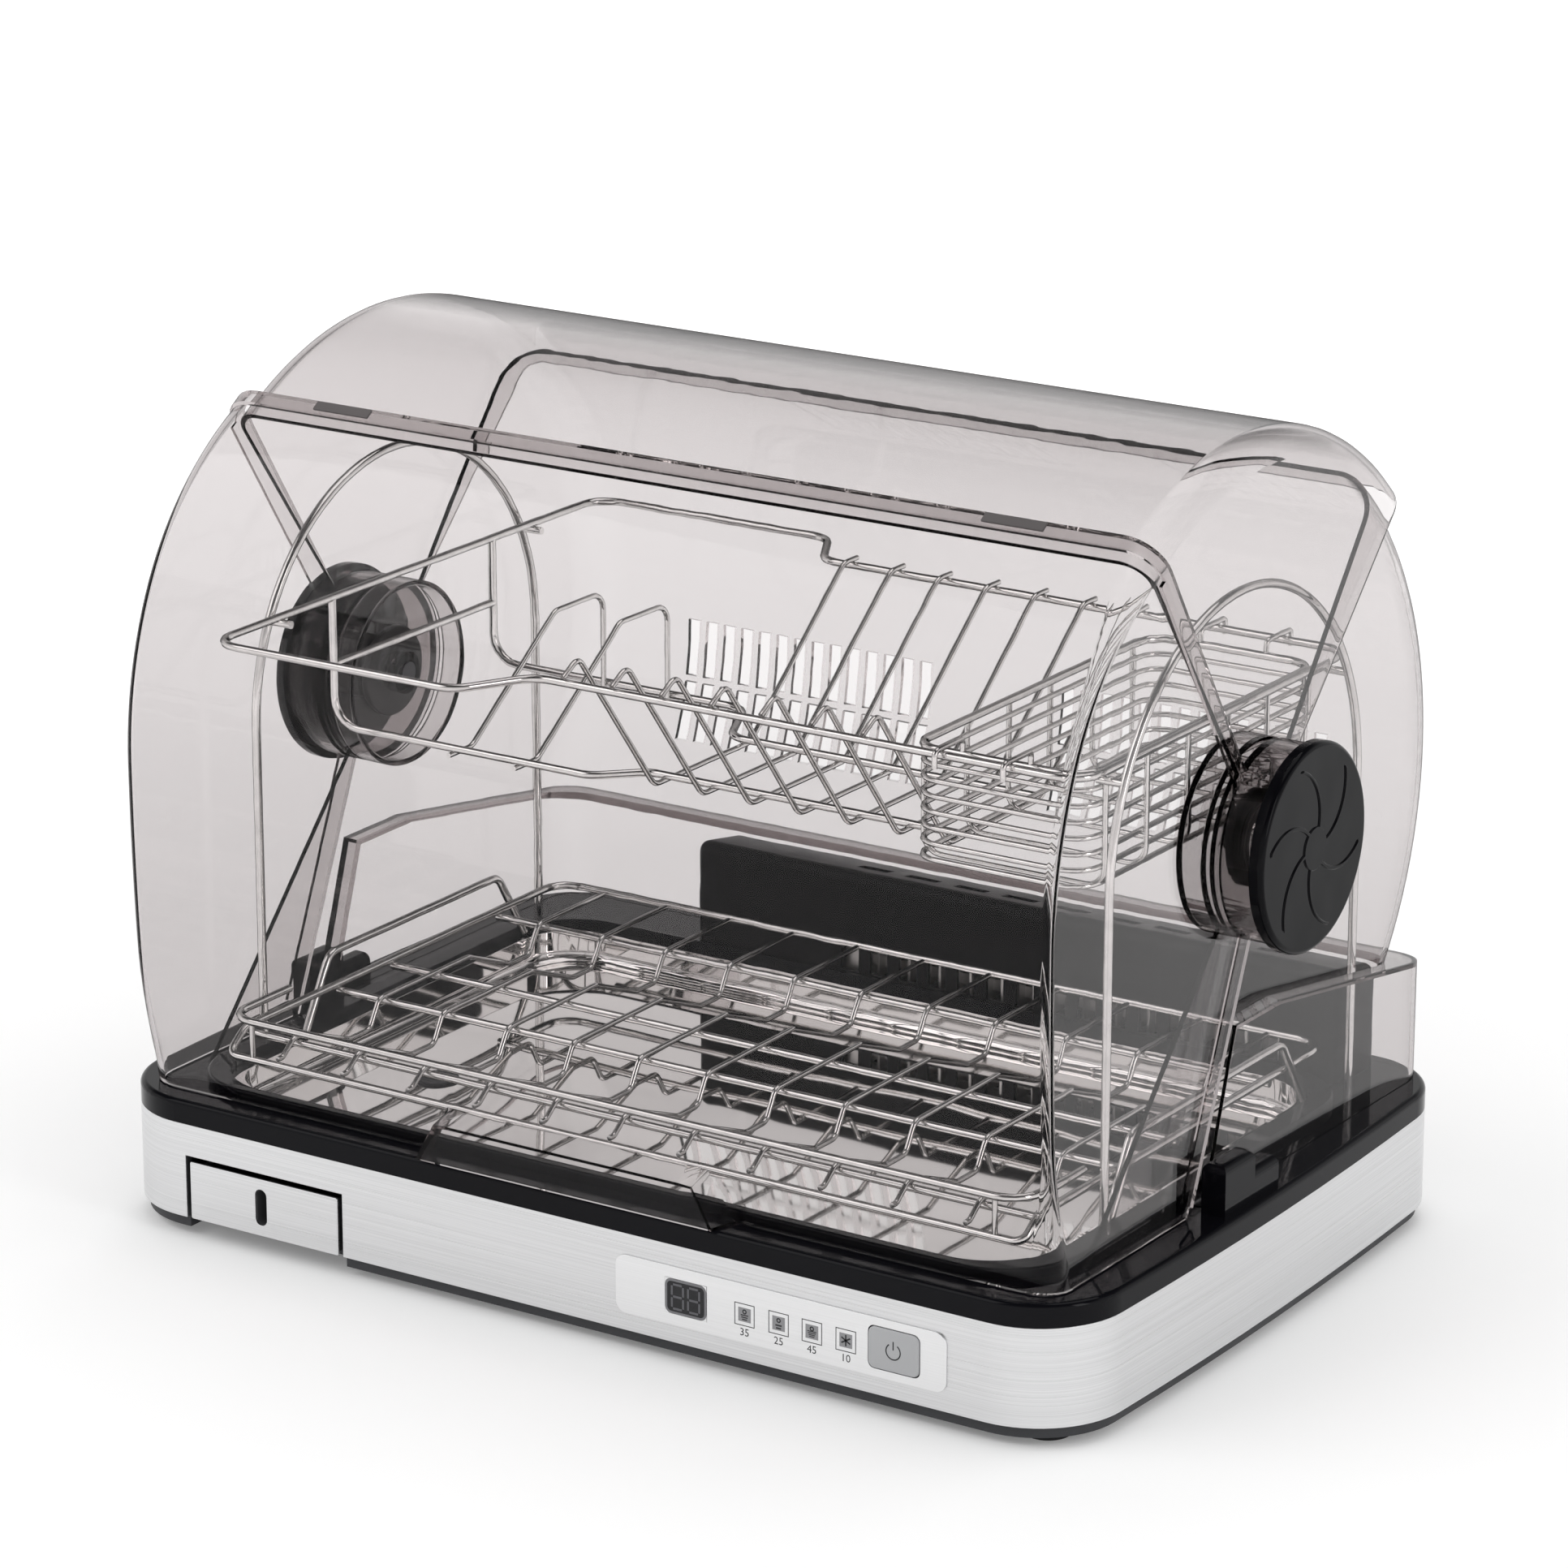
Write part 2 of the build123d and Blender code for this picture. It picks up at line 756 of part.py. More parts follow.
def front_outline(radius, drop, foot):
    """Return the front wall's edges from the upper edge down to a foot height."""
    bow = ((hub_z - foot_z) ** 2 + front_draw_back ** 2) / (2 * front_draw_back)
    bow_radius = bow - drop
    centre_y = hub_y - front_radius + bow
    whole = math.asin((hub_z - foot) / bow_radius)
    spots = [(centre_y - bow_radius * math.cos(turn), hub_z - bow_radius * math.sin(turn))
             for turn in (0, whole / 2, whole)]
    first = hub_point(radius, front_upper_angle)
    middle = hub_point(radius, (front_upper_angle + 180) / 2)
    edges = [Line((hub_y, hub_z), first), ThreePointArc(first, middle, spots[0]), ThreePointArc(*spots)]
    return edges, spots[-1]


# Front cover
edges, wall_foot = front_outline(front_radius, 0, foot_z)
rear_foot = on_ray(front_lower_angle, foot_z)
outer = make_face(edges + [Line(wall_foot, rear_foot), Line(rear_foot, (hub_y, hub_z))])
cover = across(outer, front_side)
cover = fillet(cover.edges().filter_by(GeomType.CIRCLE), front_corner)
lip_top = foot_z + lip_height
lip_root = wall_foot[0] + overrun
lip_shoulder = foot_z + lip_face_height
lip = across(polygon((lip_root, lip_top), (wall_foot[0] - cover_wall, lip_top), (lip_front, lip_shoulder),
                     (lip_front, foot_z), (lip_root, foot_z)), lip_foot_half)
lip_plan = polygon((-lip_foot_half, foot_z), (lip_foot_half, foot_z), (lip_head_half, lip_top),
                   (-lip_head_half, lip_top))
lip &= Pos(0, base_center_y, 0) * extrude(Plane.XZ * lip_plan, amount=base_depth)
cover += lip
inner_edges, inner_foot = front_outline(front_radius - cover_wall, cover_wall, foot_z - overrun)
inner = make_face(inner_edges + [Line(inner_foot, (hub_y, foot_z - overrun)),
                                 Line((hub_y, foot_z - overrun), (hub_y, hub_z))])
inner_half = front_side - cover_wall
cover -= across(inner, inner_half)
cover -= across(Pos(hub_y, hub_z) * Circle(front_radius - cover_wall), inner_half)
pocket_root = lip_root + overrun
pocket_top = lip_top - cover_wall
pocket = across(polygon((pocket_root, pocket_top), (wall_foot[0], pocket_top),
                        (lip_front + cover_wall, lip_shoulder - cover_wall / 2),
                        (lip_front + cover_wall, foot_z - overrun), (pocket_root, foot_z - overrun)),
                lip_foot_half - cover_wall)
pocket_foot = lip_foot_half - cover_wall
pocket_head = lip_head_half - cover_wall
pocket_plan = polygon((-pocket_foot, foot_z - overrun), (pocket_foot, foot_z - overrun), (pocket_foot, foot_z),
                      (pocket_head, lip_top), (-pocket_head, lip_top), (-pocket_foot, foot_z))
pocket &= Pos(0, base_center_y, 0) * extrude(Plane.XZ * pocket_plan, amount=base_depth)
cover -= pocket
rib_turn = math.degrees(edge_rib_width / front_radius)
rib_end = front_upper_angle + rib_turn
edge_rib = arc_band(front_radius - cover_wall / 2, front_radius + edge_rib_height, front_upper_angle, rib_end)
cover += across(edge_rib, front_side - front_corner)
ring_end = front_side + eye_ring_length
rib_x = (front_side - cover_wall / 2, front_side + arm_rib_height)
upper_rib = strip((hub_y, hub_z), front_upper_angle, front_radius - front_corner, arm_rib_width)
lower_length = math.dist(rear_foot, (hub_y, hub_z))
lower_rib = strip(rear_foot, front_lower_angle - 180, lower_length, arm_rib_width)
lower_rib &= outer
side = across_span(upper_rib, *rib_x) + across_span(lower_rib, *rib_x)
side += eye(inner_half, front_side)
side += eye(front_side - cover_wall / 2, ring_end)
side -= x_rod(eye_radius - eye_ring_wall, hub_y, hub_z, front_side, ring_end + overrun)
cover += side
cover += other_side(side)
bore = x_rod(pivot_radius + running_gap, hub_y, hub_z, -base_width, base_width)
nodes["front_cover"] = cover - bore

# Bumper pads
pad_margin = rib_turn * (1 - bumper_width_share) / 2
pad_radius = front_radius + edge_rib_height
pad_end = front_side - bumper_side_margin
pad_band = arc_band(pad_radius, pad_radius + bumper_thickness, front_upper_angle + pad_margin,
                    rib_end - pad_margin)
pad = across_span(pad_band, pad_end - bumper_length, pad_end)
nodes["bumper_right"] = pad
nodes["bumper_left"] = other_side(pad)

# Top cover
cover = across(sector(top_radius, top_rear_angle, top_front_angle), top_side)
cover = fillet(cover.edges().filter_by(GeomType.CIRCLE), top_corner)
cover -= drum(top_radius - cover_wall, top_side - cover_wall, top_corner - cover_wall)
cover += eye(top_side - cover_wall, top_side)
cover += other_side(eye(top_side - cover_wall, top_side))
nodes["top_cover"] = cover - bore

# Rear cover
step_y = hub_y + step_break_offset
step_z = rim_top + step_front_height
rear_z = rim_top + step_rear_height
band_y = base_rear - rear_band_margin


def rear_band(inset, low):
    """Return the wide lower band drawn in by an inset, down to a height."""
    top_front = on_ray(rear_band_angle, step_z - inset)
    foot_front = on_ray(rear_band_angle, low)
    profile = polygon((top_front[0] + inset, top_front[1]), (step_y, step_z - inset),
                      (band_y - inset, rear_z - inset), (band_y - inset, low), (foot_front[0] + inset, low))
    shape = across(profile, front_side - inset)
    corners = shape.edges().filter_by(Axis.Z).sort_by(Axis.Y)[-2:]
    return fillet(corners, rear_band_corner - inset)


cover = across(sector(rear_radius, rear_upper_angle, -90), rear_side)
cover = fillet(cover.edges().filter_by(GeomType.CIRCLE), rear_corner)
panel_foot = on_ray(rear_lower_angle, rim_top)
cover += across(polygon((hub_y, hub_z), panel_foot, (hub_y, rim_top)), rear_side)
cover += rear_band(0, rim_top)
cover -= upright(base_outline(0), -overrun, rim_top)
far_foot = on_ray(rear_lower_angle, rim_top - overrun)
cover -= drum(rear_radius - cover_wall, inner_side, rear_corner - cover_wall)
cover -= across(polygon((hub_y, hub_z + overrun), (far_foot[0] - overrun, hub_z + overrun),
                        (far_foot[0] - overrun, far_foot[1]), (hub_y + overrun, far_foot[1]),
                        (hub_y + overrun, hub_z + overrun)), inner_side)
cover -= rear_band(cover_wall, rim_top - overrun)
cover += eye(inner_side, rear_side)
cover += other_side(eye(inner_side, rear_side))
slot_spans = []
vent_room = rear_side - rear_corner - vent_side_margin - vent_first
for index in range(int(vent_room / vent_pitch) + 1):
    middle = vent_first + index * vent_pitch
    slot_spans += [(middle - vent_width / 2, middle + vent_width / 2)]
    slot_spans += [(-middle - vent_width / 2, -middle + vent_width / 2)]
vent_z = rim_top + vent_low
vent_mid = vent_z + vent_height / 2
vent_rows = ((vent_z, vent_mid - vent_bridge / 2), (vent_mid + vent_bridge / 2, vent_z + vent_height))
vent_y = (base_rear - rear_corner, base_rear + rear_corner)
vents = [block(span, vent_y, row) for span in slot_spans for row in vent_rows]
cover = cover.cut(*vents)
nodes["rear_cover"] = cover - bore

# Hubs
cap_low = ring_end + hub_cap_gap
screw_hole = x_rod(hub_screw_radius + running_gap, hub_y, hub_z, 0, cap_low)
pivot = x_rod(pivot_radius, hub_y, hub_z, inner_side - pivot_flange_thickness, cap_low)
pivot += x_rod(pivot_flange_radius, hub_y, hub_z, inner_side - pivot_flange_thickness, inner_side)
nodes["pivot_right"] = pivot - screw_hole
cap = x_rod(hub_cap_radius, hub_y, hub_z, cap_low, cap_low + hub_cap_rim)
cap = fillet(cap.edges().sort_by(Axis.X)[-1:], hub_cap_dome)
face_x = cap_low + hub_cap_rim
cap += x_rod(swirl_inner_radius, hub_y, hub_z, face_x - swirl_height, face_x + swirl_height)
for index in range(swirl_count):
    start = index * 360 / swirl_count
    angles = (start, start + swirl_sweep / 2, start + swirl_sweep)
    near, far = swirl_inner_radius - swirl_width, swirl_outer_radius
    reach = (near, (swirl_inner_radius + far) / 2, far)
    first, middle, last = [hub_point(radius, angle) for radius, angle in zip(reach, angles)]
    turned = [angle + math.degrees(swirl_width / radius) for radius, angle in zip(reach, angles)]
    near_end, bow, far_end = [hub_point(radius, angle) for radius, angle in zip(reach, turned)]
    ridge = make_face([ThreePointArc(first, middle, last), Line(last, far_end),
                       ThreePointArc(far_end, bow, near_end), Line(near_end, first)])
    cap += across_span(ridge, face_x - swirl_height, face_x + swirl_height)
nodes["hub_cap_right"] = cap
cup_low = inner_side - cup_depth
cup = x_rod(eye_radius, hub_y, hub_z, cup_low, inner_side)
cup -= x_rod(eye_radius - cup_wall, hub_y, hub_z, cup_low + cup_wall, inner_side + overrun)
cup += x_rod(cup_boss_radius, hub_y, hub_z, cup_low, inner_side - pivot_flange_thickness)
cup -= x_rod(hub_screw_head_radius + fit_gap, hub_y, hub_z, 0, cup_low + hub_screw_head_height)
nodes["hub_cup_right"] = cup - screw_hole
screw = x_rod(hub_screw_head_radius, hub_y, hub_z, cup_low, cup_low + hub_screw_head_height)
screw += x_rod(hub_screw_radius, hub_y, hub_z, cup_low, cup_low + hub_screw_length)
for name in ("pivot", "hub_cap", "hub_cup"):
    nodes[name + "_left"] = other_side(nodes[name + "_right"])
nodes["hub_screws"] = Compound(children=[screw, other_side(screw)])

# Rim clips
clip_x = (front_side + clip_gap, front_side + clip_gap + clip_thickness)
clip_mid = clip_front + clip_length * clip_front_lobe_share
clip_rear = clip_front + clip_length
lobe_top = rim_top + clip_front_lobe_height
low_top = rim_top + clip_rear_lobe_height
clip = block(clip_x, (clip_front, clip_mid), (rim_top, lobe_top))
clip = fillet(clip.faces().sort_by(Axis.Z)[-1].edges(), clip_thickness / 3)
tail = block(clip_x, (clip_mid - weld_overlap, clip_rear), (rim_top, low_top))
tail = fillet(tail.faces().sort_by(Axis.Z)[-1].edges().filter_by(Axis.Y), clip_thickness / 3)
nodes["rim_clip_right"] = clip + tail
nodes["rim_clip_left"] = other_side(nodes["rim_clip_right"])

# Places of the racks inside the covers
rack_side = arch_side - rack_side_gap
rack_reach = math.sqrt((rear_radius - cover_wall) ** 2 - (rack_height - hub_z) ** 2)
rack_wide_half = rack_reach - rack_end_gap
rack_narrow_half = arch_radius + rack_overhang
rack_jog_start = rack_bay_length - rack_side
rack_jog_end = rack_jog_start + rack_jog_run
rail_height = rack_height - rack_drop
rail_jog_start = rack_jog_start + rail_jog_shift
rail_jog_end = rail_jog_start + rack_jog_run
mid_bar_height = rack_height - mid_bar_drop
basket_right = rack_side - basket_side_gap
basket_left = basket_right - basket_width
basket_top = rack_height - basket_top_drop
rail_end = basket_left - rail_end_gap
divider_first = rail_jog_end + divider_lead
divider_count = int((rail_end - thin_wire / 2 - divider_first) / divider_pitch) + 1
low_side = tray_half - low_side_gap
low_front = tray_front + low_front_gap
low_rear = tray_rear + low_rear_overhang
low_rail_height = tray_top + low_rail_rise
low_front_height = low_rail_height - low_front_drop
low_bumper_height = low_rail_height + low_bumper_rise
low_bumper_end = low_front + low_bumper_run
low_bend_start = low_front + low_bend_run
low_cross_ys = [low_front + low_front_cross]
low_cross_ys += [low_front + (low_rear - low_front) * share for share in low_cross_shares]
handle_front = low_front + handle_front_margin
handle_rear = low_rear - handle_rear_margin
handle_top = low_rail_height + handle_rise

# Arches
peg_z = rack_height - frame_wire - seat_gap
peg_y = math.sqrt(arch_radius ** 2 - (peg_z - hub_z) ** 2)
arc = [(arch_side, *hub_point(arch_radius, 180 - 180 * step / arch_steps))
       for step in range(arch_steps + 1)]
ends = [(arch_side, y, socket_low + seat_gap) for y in arch_ys]
arch_path = [Vector(*point) for point in [ends[0]] + arc + [ends[1]]]
pegs = [rod_along([Vector(arch_side, hub_y + turn * peg_y, peg_z),
                   Vector(arch_side - peg_reach, hub_y + turn * peg_y, peg_z)], frame_wire, frame_sides)
        for turn in (-1, 1)]
nodes["arch_right"] = weld([rod_along(arch_path, arch_wire, frame_sides)] + pegs)
nodes["arch_left"] = other_side(nodes["arch_right"])

# Upper rack
half_plan = [(-rack_side, rack_wide_half), (rack_jog_start, rack_wide_half),
             (rack_jog_end, rack_narrow_half), (rack_side, rack_narrow_half)]
rim_points = [(x, hub_y - half, rack_height) for x, half in half_plan]
rim_points += [(x, hub_y + half, rack_height) for x, half in reversed(half_plan)]
wires = [thick(rim_points, closed=True)]
for turn, near in ((-1, rail_front), (1, rail_rear)):
    post_y = hub_y + turn * post_half
    near_y = hub_y + turn * near
    wires.append(thick([(-rack_side, post_y, rack_height), (-rack_side, post_y, rail_height),
                        (rail_jog_start, post_y, rail_height), (rail_jog_end, near_y, rail_height),
                        (rail_end, near_y, rail_height)]))
wires.append(thick([(-rack_side, hub_y - post_half, mid_bar_height),
                    (-rack_side, hub_y + post_half, mid_bar_height)]))
nodes["upper_rack"] = weld(wires)

# Upper rack's plate dividers
wire_step = (frame_wire + thin_wire) / 2
over_rim = rack_height + wire_step
under_rail = rail_height - wire_step
hook_y = rack_narrow_half + divider_hook / 3
shoulder_y = rack_narrow_half - divider_hook
wires = []
for index in range(divider_count):
    x = divider_first + index * divider_pitch
    wires.append(thin([(x, hub_y + hook_y, over_rim), (x, hub_y + shoulder_y, over_rim),
                       (x, hub_y + rail_rear + 2 * wire_step, under_rail),
                       (x, hub_y - rail_front - 2 * wire_step, under_rail),
                       (x, hub_y - shoulder_y, over_rim + divider_hump), (x, hub_y - hook_y, over_rim)],
                      divider_hook))
hoop_height = rail_height + hoop_rise
for setback in hoop_setbacks:
    x = setback - rack_side
    wires.append(thin([(x, hub_y - post_half - hoop_reach, under_rail),
                       (x, hub_y - post_half + hoop_rise_inset, under_rail),
                       (x, hub_y + hoop_top_front, hoop_height),
                       (x, hub_y + post_half - hoop_rear_inset, hoop_height),
                       (x, hub_y + post_half - wire_step - seat_gap, under_rail)], divider_hook))
nodes["rack_dividers"] = Compound(children=wires)

# Cutlery basket
basket_half = rack_narrow_half - basket_end_gap
basket_y = (hub_y - basket_half, hub_y + basket_half)


def basket_loop(height, diameter, sides):
    """Return one level loop of the basket."""
    corners = [(basket_left, basket_y[0], height), (basket_right, basket_y[0], height),
               (basket_right, basket_y[1], height), (basket_left, basket_y[1], height)]
    return rod_along(bend(corners, basket_corner, True), diameter, sides, True)


wires = [basket_loop(basket_top, frame_wire, frame_sides)]
for index in range(basket_loops):
    wires.append(basket_loop(basket_top - basket_depth * (index + 1) / basket_loops, thin_wire, thin_sides))
basket_low = basket_top - basket_depth - thin_wire + weld_overlap
wall_step = thin_wire - weld_overlap
sides_x = (basket_left - wall_step, basket_right + wall_step)
pitch = (basket_y[1] - basket_y[0] - 2 * basket_corner) / (basket_cross_count - 1)
for index in range(basket_cross_count):
    y = basket_y[0] + basket_corner + index * pitch
    wires.append(thin([(sides_x[0], y, basket_top), (sides_x[0], y, basket_low),
                       (sides_x[1], y, basket_low), (sides_x[1], y, basket_top)], divider_hook))
hook_run = (basket_right - basket_left) * basket_hook_share
hook_top = rack_height + frame_wire / 2 + thin_wire / 2 + seat_gap
for turn, edge in ((-1, basket_y[0]), (1, basket_y[1])):
    rail_y = hub_y + turn * rack_narrow_half
    end_y = rail_y + turn * (frame_wire + thin_wire)
    for x in (basket_left + hook_run, basket_right - hook_run):
        wires.append(thin([(x, edge, basket_top), (x, edge, hook_top), (x, end_y, hook_top),
                           (x, end_y, hook_top - basket_hook_drop)], thin_wire))
nodes["cutlery_basket"] = weld(wires)

# Lower rack
loop = [(-low_side, low_rear, low_rail_height), (-low_side, low_bend_start, low_rail_height),
        (-low_side, low_front, low_front_height), (low_side, low_front, low_front_height),
        (low_side, low_bend_start, low_rail_height), (low_side, low_rear, low_rail_height)]
wires = [thick(loop, closed=True)]
wires.append(thick([(-low_side, low_bumper_end, low_bumper_height),
                    (-low_side, low_front, low_bumper_height),
                    (low_side, low_front, low_bumper_height),
                    (low_side, low_bumper_end, low_bumper_height)]))
for turn in (-1, 1):
    x = turn * (low_side - bend_radius)
    wires.append(thin([(x, low_front, low_front_height), (x, low_front, low_bumper_height)]))
    grip_x = turn * (low_side + handle_offset)
    wires.append(thick([(grip_x, handle_front, tray_top + frame_wire / 2 + seat_gap),
                        (grip_x, handle_front + handle_front_run, handle_top),
                        (grip_x, handle_rear - handle_rear_run, handle_top),
                        (grip_x, handle_rear, tray_top + frame_wire / 2 + seat_gap)], divider_hook))
cross_z = low_rail_height - frame_wire + weld_overlap
for y in low_cross_ys:
    wires.append(thick([(-low_side, y, cross_z), (low_side, y, cross_z)]))
nodes["lower_rack"] = weld(wires)

# Lower rack's bars with two dips each
bar_z = cross_z + wire_step
side_bars = int((low_side - low_bar_margin) / low_bar_pitch)
front_y, near_y, middle_y, back_y = low_cross_ys
dip_length = near_y - front_y - 2 * wire_step - low_drop_length - low_dip_margin
bar_path = [(low_rear - wire_step, bar_z)]
for y in (back_y, near_y):
    edge_y = y - 2 * wire_step
    drop_y = edge_y - low_drop_length
    bar_path += [(edge_y, bar_z), (drop_y, bar_z - low_dip), (drop_y - dip_length / 3, bar_z - low_dip),
                 (drop_y - dip_length, bar_z)]
bar_foot = low_front_height + wire_step
bar_path += [(front_y - wire_step, bar_z), (low_front + wire_step, bar_foot),
             (low_front - seat_gap, bar_foot)]
wires = []
for index in range(-side_bars, side_bars + 1):
    x = index * low_bar_pitch
    wires.append(thin([(x, y, z) for y, z in bar_path], low_bar_bend))
nodes["rack_bars"] = Compound(children=wires)


def blower_box(inset, low):
    """Return the blower's outer form drawn in by an inset, down to a height."""
    front, rear = blower_front + inset, blower_rear - inset
    profile = polygon((front, low), (front, rim_top + blower_front_height - inset),
                      (rear, rim_top + blower_rear_height - inset), (rear, low))
    shape = across_span(profile, blower_left + inset, blower_right - inset)
    top = shape.faces().sort_by(Axis.Z)[-1].edges()
    return fillet(top + shape.edges().filter_by(Axis.Z), blower_corner - inset)


# Blower housing
box = blower_box(0, rim_top) - blower_box(blower_wall, rim_top - overrun)
fan_x = blower_left + fan_left
grille_z = rim_top + grille_low
slots = []
for index in range(int((fan_length - grille_width) / grille_pitch) + 1):
    low = fan_x + index * grille_pitch
    slots.append(block((low, low + grille_width), (blower_front - overrun, blower_front + overrun),
                       (grille_z, grille_z + grille_height)))
inlet_y = (blower_front + inlet_setback, blower_front + inlet_setback + inlet_depth)
inlet_z = (fan_z, rim_top + blower_front_height + overrun)
for index in range(int((fan_length - inlet_width) / inlet_pitch) + 1):
    low = fan_x + index * inlet_pitch
    slots.append(block((low, low + inlet_width), inlet_y, inlet_z))
nodes["blower_housing"] = box.cut(*slots)

# Fan wheel, motor and bearing
fan_end = fan_x + fan_length
motor_x = blower_left + motor_left
motor_end = motor_x + motor_length
bearing_x = blower_right - blower_wall - bearing_length
shaft = x_rod(shaft_radius, fan_y, fan_z, motor_end - motor_nose_length,
              blower_right - blower_wall - fit_gap)
wheel = [shaft]
for low in (fan_x, fan_x + (fan_length - fan_disc) / 2, fan_end - fan_disc):
    wheel.append(x_rod(fan_radius, fan_y, fan_z, low, low + fan_disc))
blade = block((fan_x, fan_end), (-fan_blade_thickness / 2, fan_blade_thickness / 2),
              (fan_radius - fan_blade_height, fan_radius - running_gap))
for index in range(fan_blades):
    wheel.append(Pos(0, fan_y, fan_z) * (Rot(index * 360 / fan_blades, 0, 0) * blade))
nodes["fan_wheel"] = weld(wheel)
shaft_hole = x_rod(shaft_radius + running_gap, fan_y, fan_z, motor_end - 2 * motor_nose_length,
                   blower_right)
motor = x_rod(motor_radius, fan_y, fan_z, motor_x, motor_end)
motor += x_rod(motor_nose_radius, fan_y, fan_z, motor_end, motor_end + motor_nose_length)
motor += block((motor_x, motor_end), (fan_y - motor_nose_radius, fan_y + motor_nose_radius),
               (rim_top, fan_z))
nodes["fan_motor"] = motor - shaft_hole
bearing = x_rod(bearing_radius, fan_y, fan_z, bearing_x, blower_right - blower_wall)
nodes["fan_bearing"] = bearing - shaft_hole

# Heater
heater_y = (fan_y - heater_depth / 2, fan_y + heater_depth / 2)
heater_z = rim_top + heater_raise
core_low = heater_z + (heater_height - heater_core_height) / 2
core_y = (heater_y[0] + heater_core_height, heater_y[1] - heater_core_height)
fins = [block((fan_x, fan_end), core_y, (core_low, core_low + heater_core_height))]
fin_count = int(fan_length / heater_fin_pitch)
for index in range(fin_count):
    low = fan_x + index * heater_fin_pitch
    fins.append(block((low, low + heater_fin_thickness), heater_y, (heater_z, heater_z + heater_height)))
for low in (fan_x, fan_end - heater_fin_pitch):
    fins.append(block((low, low + heater_fin_pitch), heater_y, (rim_top, heater_z + heater_height)))
nodes["heater"] = weld(fins)
cutout_y = (fan_y - cutout_depth / 2, fan_y + cutout_depth / 2)
nodes["thermal_cutout"] = block((fan_x - cutout_length, fan_x), cutout_y,
                                (rim_top, rim_top + cutout_height))

os.makedirs("parts", exist_ok=True)
for name, shape in nodes.items():
    shape.label = name
    export_step(shape, f"parts/{name}.step")
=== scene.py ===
"""Dish dryer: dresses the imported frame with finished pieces, light and a camera."""

import logging
import math
from dataclasses import dataclass, field
from enum import Enum
from typing import Any, Sequence

import bmesh
import bpy
from mathutils import Matrix, Vector

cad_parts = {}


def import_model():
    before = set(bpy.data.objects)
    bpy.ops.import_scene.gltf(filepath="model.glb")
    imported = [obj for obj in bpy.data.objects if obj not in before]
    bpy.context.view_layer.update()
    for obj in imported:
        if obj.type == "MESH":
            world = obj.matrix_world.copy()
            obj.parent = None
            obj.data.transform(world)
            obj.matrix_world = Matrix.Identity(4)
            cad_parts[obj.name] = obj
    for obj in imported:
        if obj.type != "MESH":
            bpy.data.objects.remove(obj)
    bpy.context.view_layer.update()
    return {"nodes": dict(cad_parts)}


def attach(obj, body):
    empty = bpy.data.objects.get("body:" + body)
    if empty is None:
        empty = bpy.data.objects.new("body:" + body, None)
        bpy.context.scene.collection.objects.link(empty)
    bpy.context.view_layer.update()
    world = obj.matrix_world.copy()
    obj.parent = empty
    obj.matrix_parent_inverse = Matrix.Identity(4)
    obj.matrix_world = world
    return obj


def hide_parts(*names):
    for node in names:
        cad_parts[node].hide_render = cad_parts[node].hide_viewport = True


MM = 0.001
LOG = logging.getLogger("dish_dryer")
Point = tuple[float, float, float]
Pair = tuple[float, float]
Colour = tuple[float, float, float]
Socket = bpy.types.NodeSocket
NOISE_SPAN: Pair = (0.3, 0.7)
SIDES = (1.0, -1.0)


class Body(str, Enum):
    """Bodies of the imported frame."""

    BASE = "base"
    FRONT = "front_cover"
    TOP = "top_cover"
    DRAWER = "water_drawer"
    BUTTON = "power_button"
    FAN = "fan_wheel"


class Slot(str, Enum):
    """Material slots of the record."""

    CLEAR = "smoky_clear"
    GLOSS = "gloss_black"
    BRUSHED = "brushed_steel"
    POLISHED = "polished_steel"
    WIRE = "wire_steel"
    DARK = "dark_plastic"
    DRAWER = "drawer_plastic"
    PANEL = "panel_silver"
    DISPLAY = "display_black"
    BUTTON = "button_grey"
    BOARD = "board_green"
    FOOT = "foot_rubber"
    PAD = "pad_rubber"
    SCREW = "screw_steel"
    HOUSING = "housing_black"
    FAN = "fan_metal"
    MOTOR = "motor_grey"
    HEATER = "heater_metal"


def any_ray(tree: bpy.types.NodeTree, kinds: Sequence[str]) -> Socket:
    """Tell rays of some kinds from all others.

    Args:
        tree: Node tree that gets the nodes.
        kinds: Outputs of the light path.

    Returns:
        A socket that is 1 for a ray of any of these kinds.
    """
    path = tree.nodes.new("ShaderNodeLightPath")
    share = path.outputs[kinds[0]]
    for kind in kinds[1:]:
        either = tree.nodes.new("ShaderNodeMath")
        either.operation = "MAXIMUM"
        tree.links.new(share, either.inputs[0])
        tree.links.new(path.outputs[kind], either.inputs[1])
        share = either.outputs["Value"]
    return share


def shade(colour: Colour, share: float) -> Colour:
    """Return a colour made darker or lighter by a share."""
    return tuple(channel * share for channel in colour)


